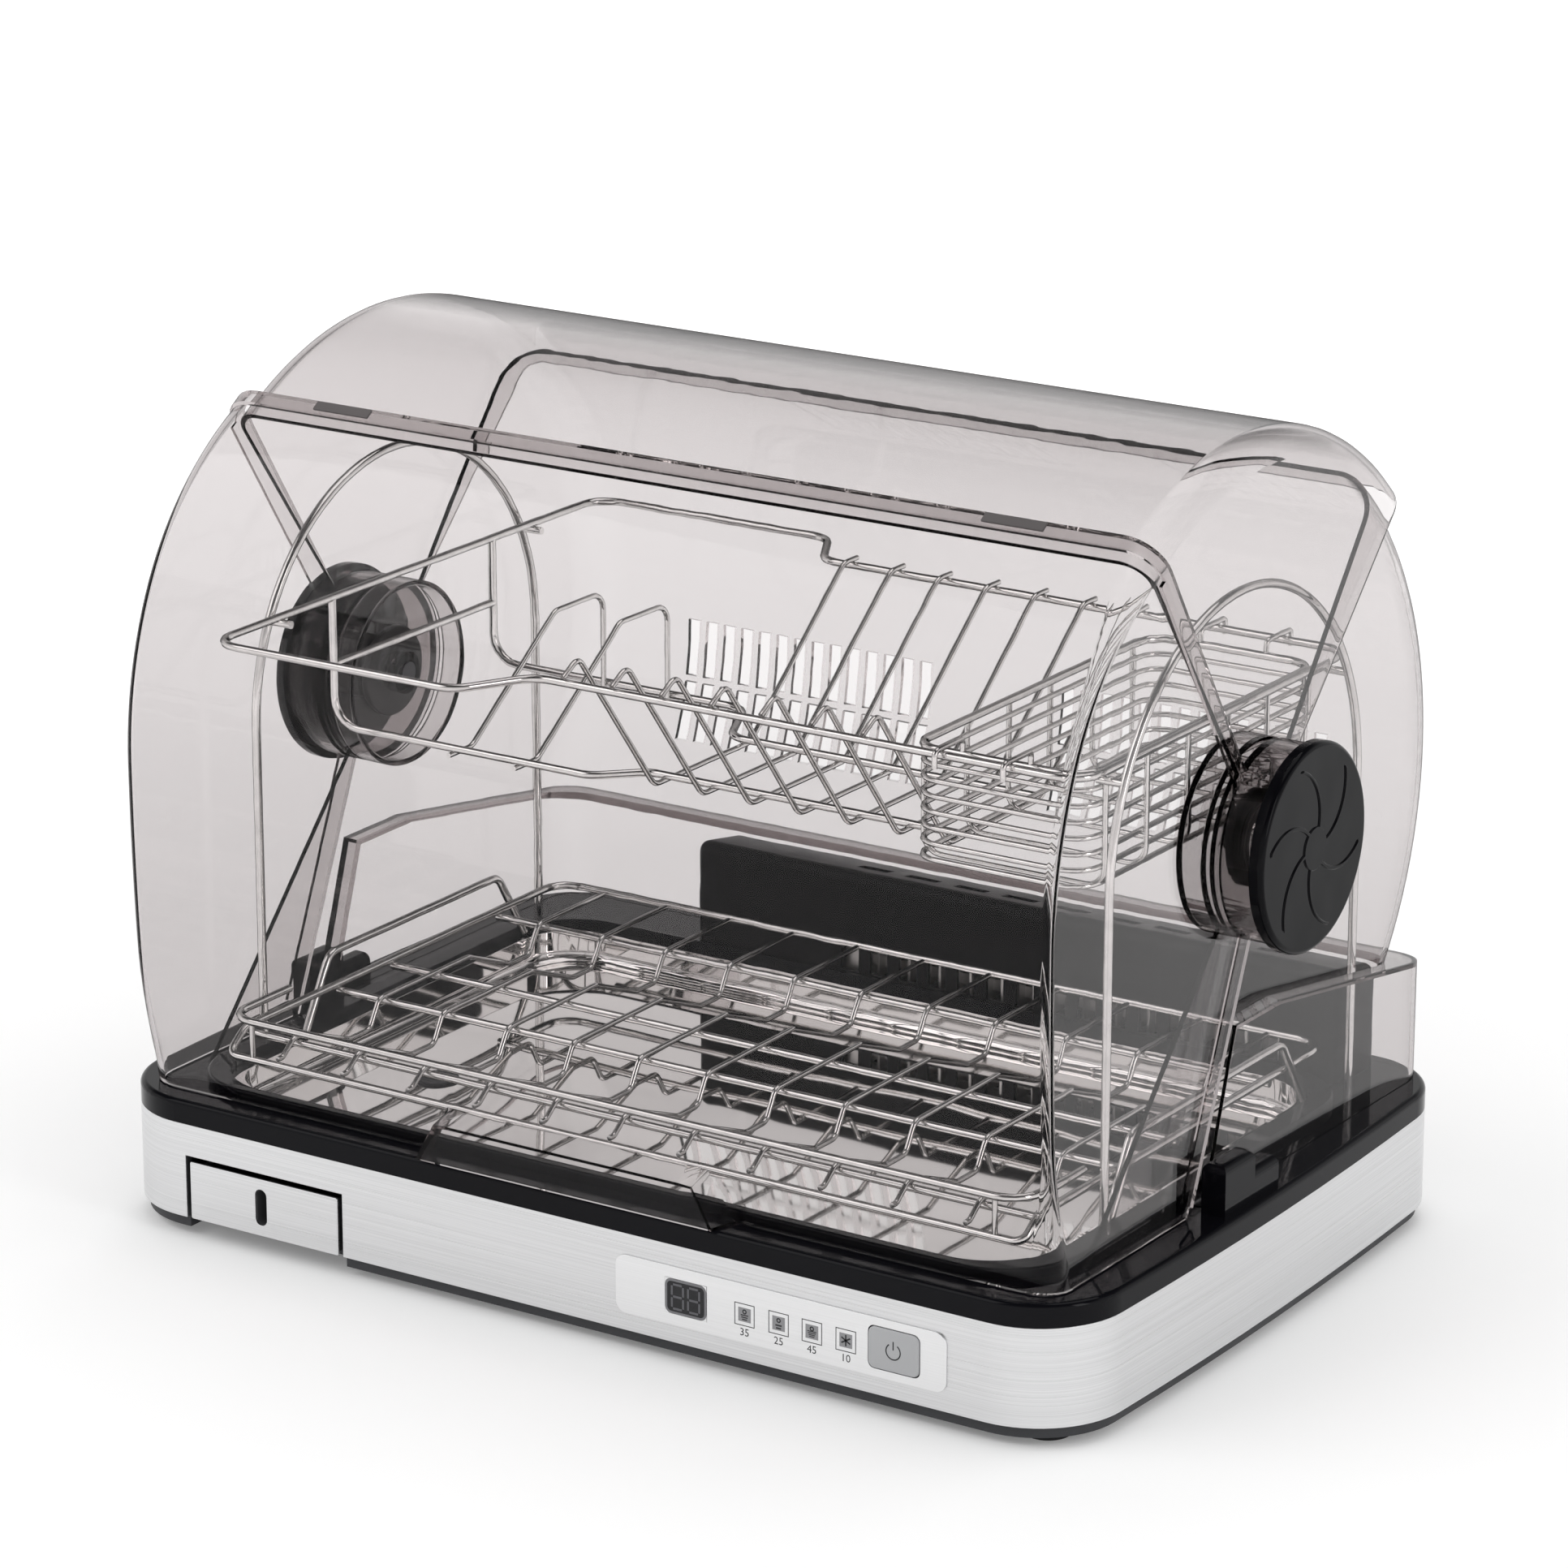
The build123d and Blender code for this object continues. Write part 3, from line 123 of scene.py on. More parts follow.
class Shader:
    """Builds the node tree of one finish."""

    def __init__(self, name: str) -> None:
        """Start a material with its principled shader.

        Args:
            name: Material name.
        """
        self.material = bpy.data.materials.new(name)
        self.material.use_nodes = True
        self.tree = self.material.node_tree
        self.surface = self.tree.nodes["Principled BSDF"]
        self.output = self.tree.nodes["Material Output"]

    def set(self, values: dict[str, Any]) -> None:
        """Set the principled shader's own sockets.

        Args:
            values: Socket names and their values.
        """
        for name, value in values.items():
            self.surface.inputs[name].default_value = value

    def feed(self, source: Socket, name: str) -> None:
        """Link a source to one of the principled shader's sockets."""
        self.tree.links.new(source, self.surface.inputs[name])

    def noise(self, scale: float, stretch: Point = (1.0, 1.0, 1.0), detail: float = 3.0) -> Socket:
        """Add a noise in object coordinates.

        Args:
            scale: Noise features for each metre.
            stretch: Extra scale along each axis.
            detail: Octaves of the noise.

        Returns:
            The noise's value socket.
        """
        nodes, links = self.tree.nodes, self.tree.links
        place = nodes.new("ShaderNodeTexCoord")
        mapping = nodes.new("ShaderNodeMapping")
        mapping.inputs["Scale"].default_value = stretch
        texture = nodes.new("ShaderNodeTexNoise")
        texture.inputs["Scale"].default_value = scale
        texture.inputs["Detail"].default_value = detail
        links.new(place.outputs["Object"], mapping.inputs["Vector"])
        links.new(mapping.outputs["Vector"], texture.inputs["Vector"])
        return texture.outputs["Fac"]

    def span(self, source: Socket, middle: float, spread: float) -> Socket:
        """Map the middle range of a noise to values about a middle.

        Args:
            source: Noise value.
            middle: Value in the middle.
            spread: How far the values go to each side.

        Returns:
            The mapped value socket.
        """
        node = self.tree.nodes.new("ShaderNodeMapRange")
        node.inputs["From Min"].default_value, node.inputs["From Max"].default_value = NOISE_SPAN
        node.inputs["To Min"].default_value = middle - spread
        node.inputs["To Max"].default_value = middle + spread
        self.tree.links.new(source, node.inputs["Value"])
        return node.outputs["Result"]

    def tones(self, source: Socket, colour: Colour, variation: float) -> Socket:
        """Map the middle range of a noise to darker and lighter tones of a colour.

        Args:
            source: Noise value.
            colour: The colour in the middle.
            variation: Share by which it gets darker and lighter.

        Returns:
            The colour socket.
        """
        node = self.tree.nodes.new("ShaderNodeValToRGB")
        first, last = node.color_ramp.elements
        first.position, last.position = NOISE_SPAN
        first.color = (*shade(colour, 1.0 - variation), 1.0)
        last.color = (*shade(colour, 1.0 + variation), 1.0)
        self.tree.links.new(source, node.inputs["Fac"])
        return node.outputs["Color"]

    def blend(self, share: Socket, first: Socket, film: Colour) -> Socket:
        """Blend a shader with a transparent film.

        Args:
            share: Share of the film.
            first: Shader where the share is zero.
            film: Colour that the film lets through.

        Returns:
            The shader socket.
        """
        through = self.tree.nodes.new("ShaderNodeBsdfTransparent")
        through.inputs["Color"].default_value = (*film, 1.0)
        mix = self.tree.nodes.new("ShaderNodeMixShader")
        self.tree.links.new(share, mix.inputs["Fac"])
        self.tree.links.new(first, mix.inputs[1])
        self.tree.links.new(through.outputs["BSDF"], mix.inputs[2])
        return mix.outputs["Shader"]

    def relief(self, source: Socket, strength: float, depth: float) -> None:
        """Turn a noise into surface relief.

        Args:
            source: Noise value.
            strength: Share of the relief that shows.
            depth: Depth of the relief in metres.
        """
        node = self.tree.nodes.new("ShaderNodeBump")
        node.inputs["Strength"].default_value = strength
        node.inputs["Distance"].default_value = depth
        self.tree.links.new(source, node.inputs["Height"])
        self.feed(node.outputs["Normal"], "Normal")


def curve_mesh(curve: bpy.types.Curve) -> bpy.types.Mesh:
    """Turn a curve or a text into a mesh.

    Args:
        curve: The curve, which is removed.

    Returns:
        The mesh.
    """
    holder = bpy.data.objects.new(curve.name, curve)
    bpy.context.scene.collection.objects.link(holder)
    bpy.context.view_layer.update()
    shown = holder.evaluated_get(bpy.context.evaluated_depsgraph_get())
    mesh = bpy.data.meshes.new_from_object(shown)
    bpy.data.objects.remove(holder)
    bpy.data.curves.remove(curve)
    return mesh


@dataclass(frozen=True)
class SurfaceFinish:
    """A named finish whose material is made once."""

    name: str

    def paint(self, shader: Shader) -> None:
        """Set up the finish's nodes."""
        raise NotImplementedError

    def material(self) -> bpy.types.Material:
        """Return the finish's material.

        Returns:
            The material.
        """
        made = bpy.data.materials.get(self.name)
        if made is None:
            shader = Shader(self.name)
            self.paint(shader)
            made = shader.material
        return made


Dressed = tuple[str, SurfaceFinish]


@dataclass(frozen=True)
class ClearPlastic(SurfaceFinish):
    """Smoky transparent moulding that darkens light along its way through the wall."""

    smoke: Colour
    density: float
    roughness: float = 0.012
    ior: float = 1.45
    gloss: float = 0.15
    # Painted shade: the edge colour is a dark film blended in where the wall is seen edge-on, for the dark
    # outlines of the clear walls.
    edge: Colour = (0.34, 0.31, 0.31)
    edge_share: float = 0.9
    edge_shade_span: Pair = (0.74, 0.96)
    ripple_scale: float = 14.0
    ripple_strength: float = 0.05
    ripple_depth: float = 0.004

    def painted_edge_shade(self, shader: Shader) -> Socket:
        """Paint shade on the wall where it is seen along its surface: a dark film that stands in for the
        dark outlines of the clear walls.

        Args:
            shader: The finish's shader.

        Returns:
            The shader socket.
        """
        nodes, links = shader.tree.nodes, shader.tree.links
        slant = nodes.new("ShaderNodeLayerWeight")
        slant.inputs["Blend"].default_value = 0.5
        rise = nodes.new("ShaderNodeMapRange")
        rise.inputs["From Min"].default_value, rise.inputs["From Max"].default_value = self.edge_shade_span
        rise.inputs["To Max"].default_value = self.edge_share
        links.new(slant.outputs["Facing"], rise.inputs["Value"])
        # Painted shade: the dark film takes over towards grazing angles.
        return shader.blend(rise.outputs["Result"], shader.surface.outputs["BSDF"], self.edge)

    def paint(self, shader: Shader) -> None:
        """Set up the clear surface, its edge film of painted shade and the smoke within the wall.

        Args:
            shader: The finish's shader.
        """
        shader.set({"Base Color": (1.0, 1.0, 1.0, 1.0), "Roughness": self.roughness, "IOR": self.ior,
                    "Transmission Weight": 1.0, "Specular Tint": (self.gloss, self.gloss, self.gloss, 1.0)})
        shader.relief(shader.noise(self.ripple_scale), self.ripple_strength, self.ripple_depth)
        nodes, links = shader.tree.nodes, shader.tree.links
        unseen = any_ray(shader.tree, ("Is Shadow Ray", "Is Diffuse Ray"))
        passed = shader.blend(unseen, self.painted_edge_shade(shader), (1.0, 1.0, 1.0))
        links.new(passed, shader.output.inputs["Surface"])
        smoke = nodes.new("ShaderNodeVolumeAbsorption")
        smoke.inputs["Color"].default_value = (*self.smoke, 1.0)
        smoke.inputs["Density"].default_value = self.density
        links.new(smoke.outputs["Volume"], shader.output.inputs["Volume"])


@dataclass(frozen=True)
class Moulded(SurfaceFinish):
    """Opaque plastic, rubber or paint with a fine grain."""

    colour: Colour
    roughness: float = 0.45
    spread: float = 0.08
    variation: float = 0.12
    grain_scale: float = 900.0
    grain_strength: float = 0.12
    grain_depth: float = 0.0002
    gloss: float = 0.3
    cloud_scale: float = 9.0
    patch_scale: float = 60.0

    def paint(self, shader: Shader) -> None:
        """Set up the colour's clouds, patches of gloss and the grain.

        Args:
            shader: The finish's shader.
        """
        shader.set({"Specular IOR Level": self.gloss})
        clouds, patches = shader.noise(self.cloud_scale), shader.noise(self.patch_scale)
        shader.feed(shader.tones(clouds, self.colour, self.variation), "Base Color")
        shader.feed(shader.span(patches, self.roughness, self.spread), "Roughness")
        shader.relief(shader.noise(self.grain_scale), self.grain_strength, self.grain_depth)


@dataclass(frozen=True)
class Metal(SurfaceFinish):
    """Metal with grain drawn out along given axes."""

    colour: Colour
    roughness: float
    spread: float
    stretch: Point = (1.0, 1.0, 1.0)
    grain_scale: float = 40.0
    variation: float = 0.05
    grain_strength: float = 0.05
    grain_depth: float = 0.0003
    metallic: float = 1.0
    anisotropy: float = 0.0
    # Below 1 the edge share darkens the reflection at grazing angles: painted shade along the outlines.
    edge_share: float = 1.0
    detail: float = 5.0

    def paint(self, shader: Shader) -> None:
        """Set up the metal and let one grain drive its colour, gloss and relief.

        Args:
            shader: The finish's shader.
        """
        shader.set({"Metallic": self.metallic, "Anisotropic": self.anisotropy,
                    "Specular Tint": (self.edge_share, self.edge_share, self.edge_share, 1.0)})
        grain = shader.noise(self.grain_scale, self.stretch, self.detail)
        shader.feed(shader.tones(grain, self.colour, self.variation), "Base Color")
        shader.feed(shader.span(grain, self.roughness, self.spread), "Roughness")
        shader.relief(grain, self.grain_strength, self.grain_depth)


class Finish:
    """The finishes of the dryer's pieces."""

    COVER = ClearPlastic("smoky cover", (0.40, 0.335, 0.335), 155.0)
    TOP = ClearPlastic("smoky top cover", (0.40, 0.335, 0.335), 175.0)
    CUP = ClearPlastic("smoky hub cup", (0.40, 0.345, 0.345), 130.0)
    GLOSS = Moulded("gloss black", (0.004, 0.004, 0.0055), 0.07, 0.02, variation=0.15, grain_scale=240.0,
                    grain_strength=0.02, grain_depth=0.0001, gloss=0.11)
    CAP = Moulded("gloss black cap", (0.003, 0.003, 0.004), 0.06, 0.02, variation=0.15, grain_scale=9.0,
                  grain_strength=0.5, grain_depth=0.004, gloss=0.075)
    BRUSHED = Metal("brushed steel", (0.72, 0.722, 0.728), 0.33, 0.07, (1.2, 1.2, 480.0), grain_scale=4.0,
                    variation=0.09, grain_strength=0.12, anisotropy=0.6)
    PLATE = Metal("control plate silver", (0.82, 0.822, 0.826), 0.36, 0.05, (1.5, 1.5, 420.0),
                  grain_scale=4.0, variation=0.03, grain_strength=0.04)
    TRAY = Metal("polished tray", (0.93, 0.915, 0.905), 0.03, 0.012, grain_scale=11.0, variation=0.02,
                 grain_strength=0.2, grain_depth=0.005, detail=0.4)
    # The wire's low edge share paints shade along its outlines.
    WIRE = Metal("wire steel", (0.88, 0.87, 0.86), 0.09, 0.03, grain_scale=160.0, variation=0.06,
                 edge_share=0.1)
    SKIRT = Moulded("dark skirt plastic", (0.045, 0.046, 0.05), 0.5, 0.08)
    DRAWER = Moulded("drawer plastic", (0.07, 0.07, 0.075), 0.42, 0.06)
    INSERT = Moulded("finger slot plastic", (0.012, 0.012, 0.014), 0.3, 0.05)
    HOUSING = Moulded("blower plastic", (0.006, 0.006, 0.007), 0.34, 0.06, variation=0.2, grain_scale=700.0,
                      grain_strength=0.2, gloss=0.08)
    PIVOT = Moulded("pivot plastic", (0.03, 0.03, 0.032), 0.4, 0.06)
    BUTTON = Moulded("button grey", (0.46, 0.465, 0.475), 0.42, 0.05, 0.04)
    DISPLAY = Moulded("display glass", (0.008, 0.008, 0.010), 0.1, 0.03, variation=0.1, grain_scale=300.0,
                      grain_strength=0.02, grain_depth=0.0001, gloss=0.4)
    SEGMENT = Moulded("display segment", (0.12, 0.12, 0.13), 0.4, 0.04)
    BEZEL = Moulded("display bezel", (0.20, 0.20, 0.21), 0.4, 0.05, 0.05)
    FIELD = Moulded("grey ink", (0.30, 0.30, 0.31), 0.5, 0.05, 0.05)
    INK = Moulded("dark ink", (0.03, 0.03, 0.033), 0.5, 0.05)
    PAD = Moulded("edge pad rubber", (0.11, 0.10, 0.10), 0.6, 0.08)
    RUBBER = Moulded("rubber", (0.02, 0.02, 0.021), 0.75, 0.08)
    BOARD = Moulded("board green", (0.02, 0.11, 0.05), 0.4, 0.06)
    SCREW = Metal("screw steel", (0.55, 0.55, 0.56), 0.3, 0.05)
    DARK_SCREW = Metal("blackened screw", (0.10, 0.10, 0.105), 0.4, 0.05)
    FAN = Metal("fan metal", (0.62, 0.63, 0.65), 0.35, 0.05)
    MOTOR = Metal("motor shell", (0.36, 0.36, 0.38), 0.4, 0.06)
    HEATER = Metal("heater fins", (0.66, 0.65, 0.64), 0.36, 0.06)


@dataclass
class Workshop:
    """Turns meshes into dressed pieces that ride on the frame's bodies."""

    nodes: dict[str, bpy.types.Object]
    sharp_angle: float = 38.0
    weld_distance: float = 2e-6
    sliver: float = 5e-6
    flat_angle: float = 0.2

    def piece(self, mesh: bpy.types.Mesh, name: str, finish: SurfaceFinish, body: Body,
              stands_for: Sequence[str] = ()) -> bpy.types.Object:
        """Place a mesh in the scene as a piece.

        Args:
            mesh: Finished mesh in metres.
            name: Piece name.
            finish: Finish of its surface.
            body: Body that it moves with.
            stands_for: CAD nodes that it replaces.

        Returns:
            The new object.
        """
        mesh.materials.clear()
        mesh.materials.append(finish.material())
        item = bpy.data.objects.new(name, mesh)
        bpy.context.scene.collection.objects.link(item)
        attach(item, body.value)
        if stands_for:
            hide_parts(*stands_for)
        LOG.info("%s on %s", name, body.value)
        return item

    def mesh(self, bm: bmesh.types.BMesh, name: str, scale: float = MM) -> bpy.types.Mesh:
        """Finish a bmesh: scale, smooth its faces and mark its sharp edges.

        Args:
            bm: The bmesh, which is freed.
            name: Mesh name.
            scale: Scale to metres.

        Returns:
            The new mesh.
        """
        bmesh.ops.scale(bm, vec=(scale, scale, scale), verts=bm.verts)
        limit = math.radians(self.sharp_angle)
        for face in bm.faces:
            face.smooth = True
        for edge in bm.edges:
            edge.smooth = not (edge.is_manifold and edge.calc_face_angle(0.0) > limit)
        result = bpy.data.meshes.new(name)
        bm.to_mesh(result)
        bm.free()
        return result

    def traced(self, node: str) -> bmesh.types.BMesh:
        """Return a merged copy of a CAD node's mesh, in metres.

        Args:
            node: Node name.

        Returns:
            The bmesh.
        """
        bm = bmesh.new()
        bm.from_mesh(self.nodes[node].data)
        bmesh.ops.remove_doubles(bm, verts=bm.verts, dist=self.weld_distance)
        bmesh.ops.dissolve_limit(bm, angle_limit=math.radians(self.flat_angle), verts=bm.verts,
                                 edges=bm.edges)
        return bm

    def soften(self, item: bpy.types.Object, width: float, segments: int = 2, angle: float = 40.0) -> None:
        """Round a piece's sharp edges and even out its normals.

        Args:
            item: The piece.
            width: Edge width in millimetres.
            segments: Rounding steps.
            angle: Least angle of an edge that is rounded.
        """
        if width > 0.0:
            bevel = item.modifiers.new("edge", "BEVEL")
            bevel.width = width * MM
            bevel.segments = segments
            bevel.limit_method = "ANGLE"
            bevel.angle_limit = math.radians(angle)
            bevel.harden_normals = False
        normals = item.modifiers.new("normals", "WEIGHTED_NORMAL")
        normals.keep_sharp = True

    def copy_node(self, node: str, finish: SurfaceFinish, body: Body,
                  width: float = 0.0) -> bpy.types.Object:
        """Dress a softened copy of a CAD node.

        Args:
            node: Node name.
            finish: Finish of its surface.
            body: Body that it moves with.
            width: Width of its rounded edges in millimetres.

        Returns:
            The new object.
        """
        mesh = self.mesh(self.traced(node), node + "_form", 1.0)
        item = self.piece(mesh, node + "_shown", finish, body, (node,))
        self.soften(item, width)
        return item

    def united(self, sheet: bpy.types.Mesh, wall: float, ribs: bpy.types.Mesh, name: str) -> bpy.types.Mesh:
        """Thicken a sheet and unite it with its ribs into one moulding.

        Args:
            sheet: Outside of the moulding.
            wall: Wall in millimetres.
            ribs: Closed solids that overlap the wall.
            name: Mesh name.

        Returns:
            The mesh in metres.
        """
        base, tool = bpy.data.objects.new(name, sheet), bpy.data.objects.new(name + "_ribs", ribs)
        for item in (base, tool):
            bpy.context.scene.collection.objects.link(item)
        thicken(base, wall)
        union = base.modifiers.new("ribs", "BOOLEAN")
        union.operation, union.solver, union.object, union.use_self = "UNION", "EXACT", tool, True
        bpy.context.view_layer.update()
        joined = bpy.data.meshes.new_from_object(base.evaluated_get(bpy.context.evaluated_depsgraph_get()))
        for item in (base, tool):
            bpy.data.objects.remove(item)
        bm = bmesh.new()
        bm.from_mesh(joined)
        bmesh.ops.remove_doubles(bm, verts=bm.verts, dist=self.weld_distance)
        bmesh.ops.triangulate(bm, faces=[face for face in bm.faces if len(face.verts) > 4])
        bmesh.ops.dissolve_degenerate(bm, dist=self.sliver, edges=bm.edges)
        bmesh.ops.delete(bm, geom=[edge for edge in bm.edges if not edge.link_faces], context="EDGES")
        bmesh.ops.delete(bm, geom=[vert for vert in bm.verts if not vert.link_faces], context="VERTS")
        return self.mesh(bm, name, 1.0)

    def dress(self, node: str, finish: SurfaceFinish) -> None:
        """Give a CAD node that keeps its mesh a finish.

        Args:
            node: Node name.
            finish: Finish of its surface.
        """
        materials = self.nodes[node].data.materials
        materials.clear()
        materials.append(finish.material())
        LOG.info("%s keeps its solid", node)


@dataclass
class Wire:
    """One bent wire: its corners, its gauge and how it bends."""

    points: Sequence[Point]
    gauge: float
    bend: float = 13.0
    closed: bool = False


@dataclass
class WireWork:
    """Bends round wires with true arcs at their corners."""

    reach_share: float = 0.34
    arc_steps: int = 5
    ring_steps: int = 2

    def knots(self, wire: Wire) -> list[tuple[Vector, Vector | None, Vector | None]]:
        """Return the wire's spline points with the handles of its bends.

        Args:
            wire: The wire.

        Returns:
            Places with their left and right handles, None on a straight side.
        """
        corners = [Vector(point) * MM for point in wire.points]
        found = []
        for index, corner in enumerate(corners):
            if not wire.closed and index in (0, len(corners) - 1):
                found.append((corner, None, None))
                continue
            back = corners[index - 1] - corner
            ahead = corners[(index + 1) % len(corners)] - corner
            turn = math.pi - back.angle(ahead)
            reach = min(wire.bend * MM * math.tan(turn / 2), back.length * self.reach_share,
                        ahead.length * self.reach_share)
            pull = reach * (1 - 4 / 3 * math.tan(turn / 4) / math.tan(turn / 2))
            found.append((corner + back.normalized() * reach, None, corner + back.normalized() * pull))
            found.append((corner + ahead.normalized() * reach, corner + ahead.normalized() * pull, None))
        return found

    def add_spline(self, curve: bpy.types.Curve, wire: Wire, gauge: float) -> None:
        """Add one wire to a curve.

        Args:
            curve: The curve, whose bevel has the given gauge.
            wire: The wire.
            gauge: Diameter of the curve's bevel.
        """
        knots = self.knots(wire)
        spline = curve.splines.new("BEZIER")
        spline.bezier_points.add(len(knots) - 1)
        spline.use_cyclic_u = wire.closed
        for point, (place, left, right) in zip(spline.bezier_points, knots):
            point.co = place
            point.radius = wire.gauge / gauge
            point.handle_left_type = "VECTOR" if left is None else "FREE"
            point.handle_right_type = "VECTOR" if right is None else "FREE"
            if left is not None:
                point.handle_left = left
            if right is not None:
                point.handle_right = right

    def mesh(self, name: str, wires: Sequence[Wire]) -> bpy.types.Mesh:
        """Return the wires as one mesh.

        Args:
            name: Mesh name.
            wires: The wires.

        Returns:
            The mesh.
        """
        gauge = max(wire.gauge for wire in wires)
        curve = bpy.data.curves.new(name, "CURVE")
        curve.dimensions = "3D"
        curve.bevel_depth = gauge * MM / 2
        curve.bevel_resolution = self.ring_steps
        curve.resolution_u = self.arc_steps
        curve.use_fill_caps = True
        for wire in wires:
            self.add_spline(curve, wire, gauge)
        mesh = curve_mesh(curve)
        for polygon in mesh.polygons:
            polygon.use_smooth = True
        return mesh

    def build(self, shop: Workshop, node: str, wires: Sequence[Wire]) -> None:
        """Make wires the piece that stands for a CAD node.

        Args:
            shop: Makes the piece.
            node: Node name.
            wires: The wires.
        """
        mesh = self.mesh(node + "_wire", wires)
        shop.piece(mesh, node + "_shown", Finish.WIRE, Body.BASE, (node,))


@dataclass
class Hub:
    """The axis that the covers turn about."""

    y: float = 7.75
    z: float = 204.0
    bore: float = 14.05
    eye_radius: float = 41.0

    def at(self, x: float, radius: float, angle: float) -> Vector:
        """Return the place at a radius and an angle about the axis."""
        turn = math.radians(angle)
        return Vector((x, self.y + radius * math.cos(turn), self.z + radius * math.sin(turn)))

    def polar(self, place: Vector) -> Pair:
        """Return a place's radius and its angle in degrees, from 0 to 360."""
        along, up = place.y - self.y, place.z - self.z
        return math.hypot(along, up), math.degrees(math.atan2(up, along)) % 360.0

    def turn(self, bm: bmesh.types.BMesh, profile: Sequence[Pair], start: float,
             stops: Sequence[tuple[float, int]]) -> None:
        """Spin an open profile about the axis.

        Args:
            bm: The bmesh that gets the surface.
            profile: Pairs of X and radius.
            start: First angle.
            stops: Angles to reach in turn, each with its steps.
        """
        verts = [bm.verts.new(self.at(x, radius, start)) for x, radius in profile]
        geom = verts + [bm.edges.new(pair) for pair in zip(verts, verts[1:])]
        angle = start
        for stop, steps in stops:
            spun = bmesh.ops.spin(bm, geom=geom, cent=(0.0, self.y, self.z), axis=(1.0, 0.0, 0.0),
                                  angle=math.radians(stop - angle), steps=steps)
            geom = spun["geom_last"]
            angle = stop


def both_sides(half: Sequence[Pair]) -> list[Pair]:
    """Return a half profile joined with its mirror image on the left."""
    return list(half) + [(-x, radius) for x, radius in reversed(half) if x > 0.0]


def corner_run(side: float, radius: float, corner: float, steps: int) -> list[Pair]:
    """Return the rounded corner between a side wall and the round wall.

    Args:
        side: X of the side wall.
        radius: Radius of the round wall.
        corner: Corner radius.
        steps: Steps of the corner.

    Returns:
        Pairs of X and radius.
    """
    turns = [math.pi / 2 * step / steps for step in range(steps + 1)]
    return [(side - corner + corner * math.cos(turn), radius - corner + corner * math.sin(turn))
            for turn in turns]


def seal(bm: bmesh.types.BMesh, distance: float = 0.01) -> None:
    """Merge a sheet's doubles and turn its faces outwards."""
    bmesh.ops.remove_doubles(bm, verts=bm.verts, dist=distance)
    bmesh.ops.recalc_face_normals(bm, faces=bm.faces)


def thicken(item: bpy.types.Object, wall: float) -> None:
    """Give a sheet its wall, inwards.

    Args:
        item: The sheet.
        wall: Wall in millimetres.
    """
    solidify = item.modifiers.new("wall", "SOLIDIFY")
    solidify.thickness = wall * MM
    solidify.offset = -1.0
    solidify.use_even_offset = True


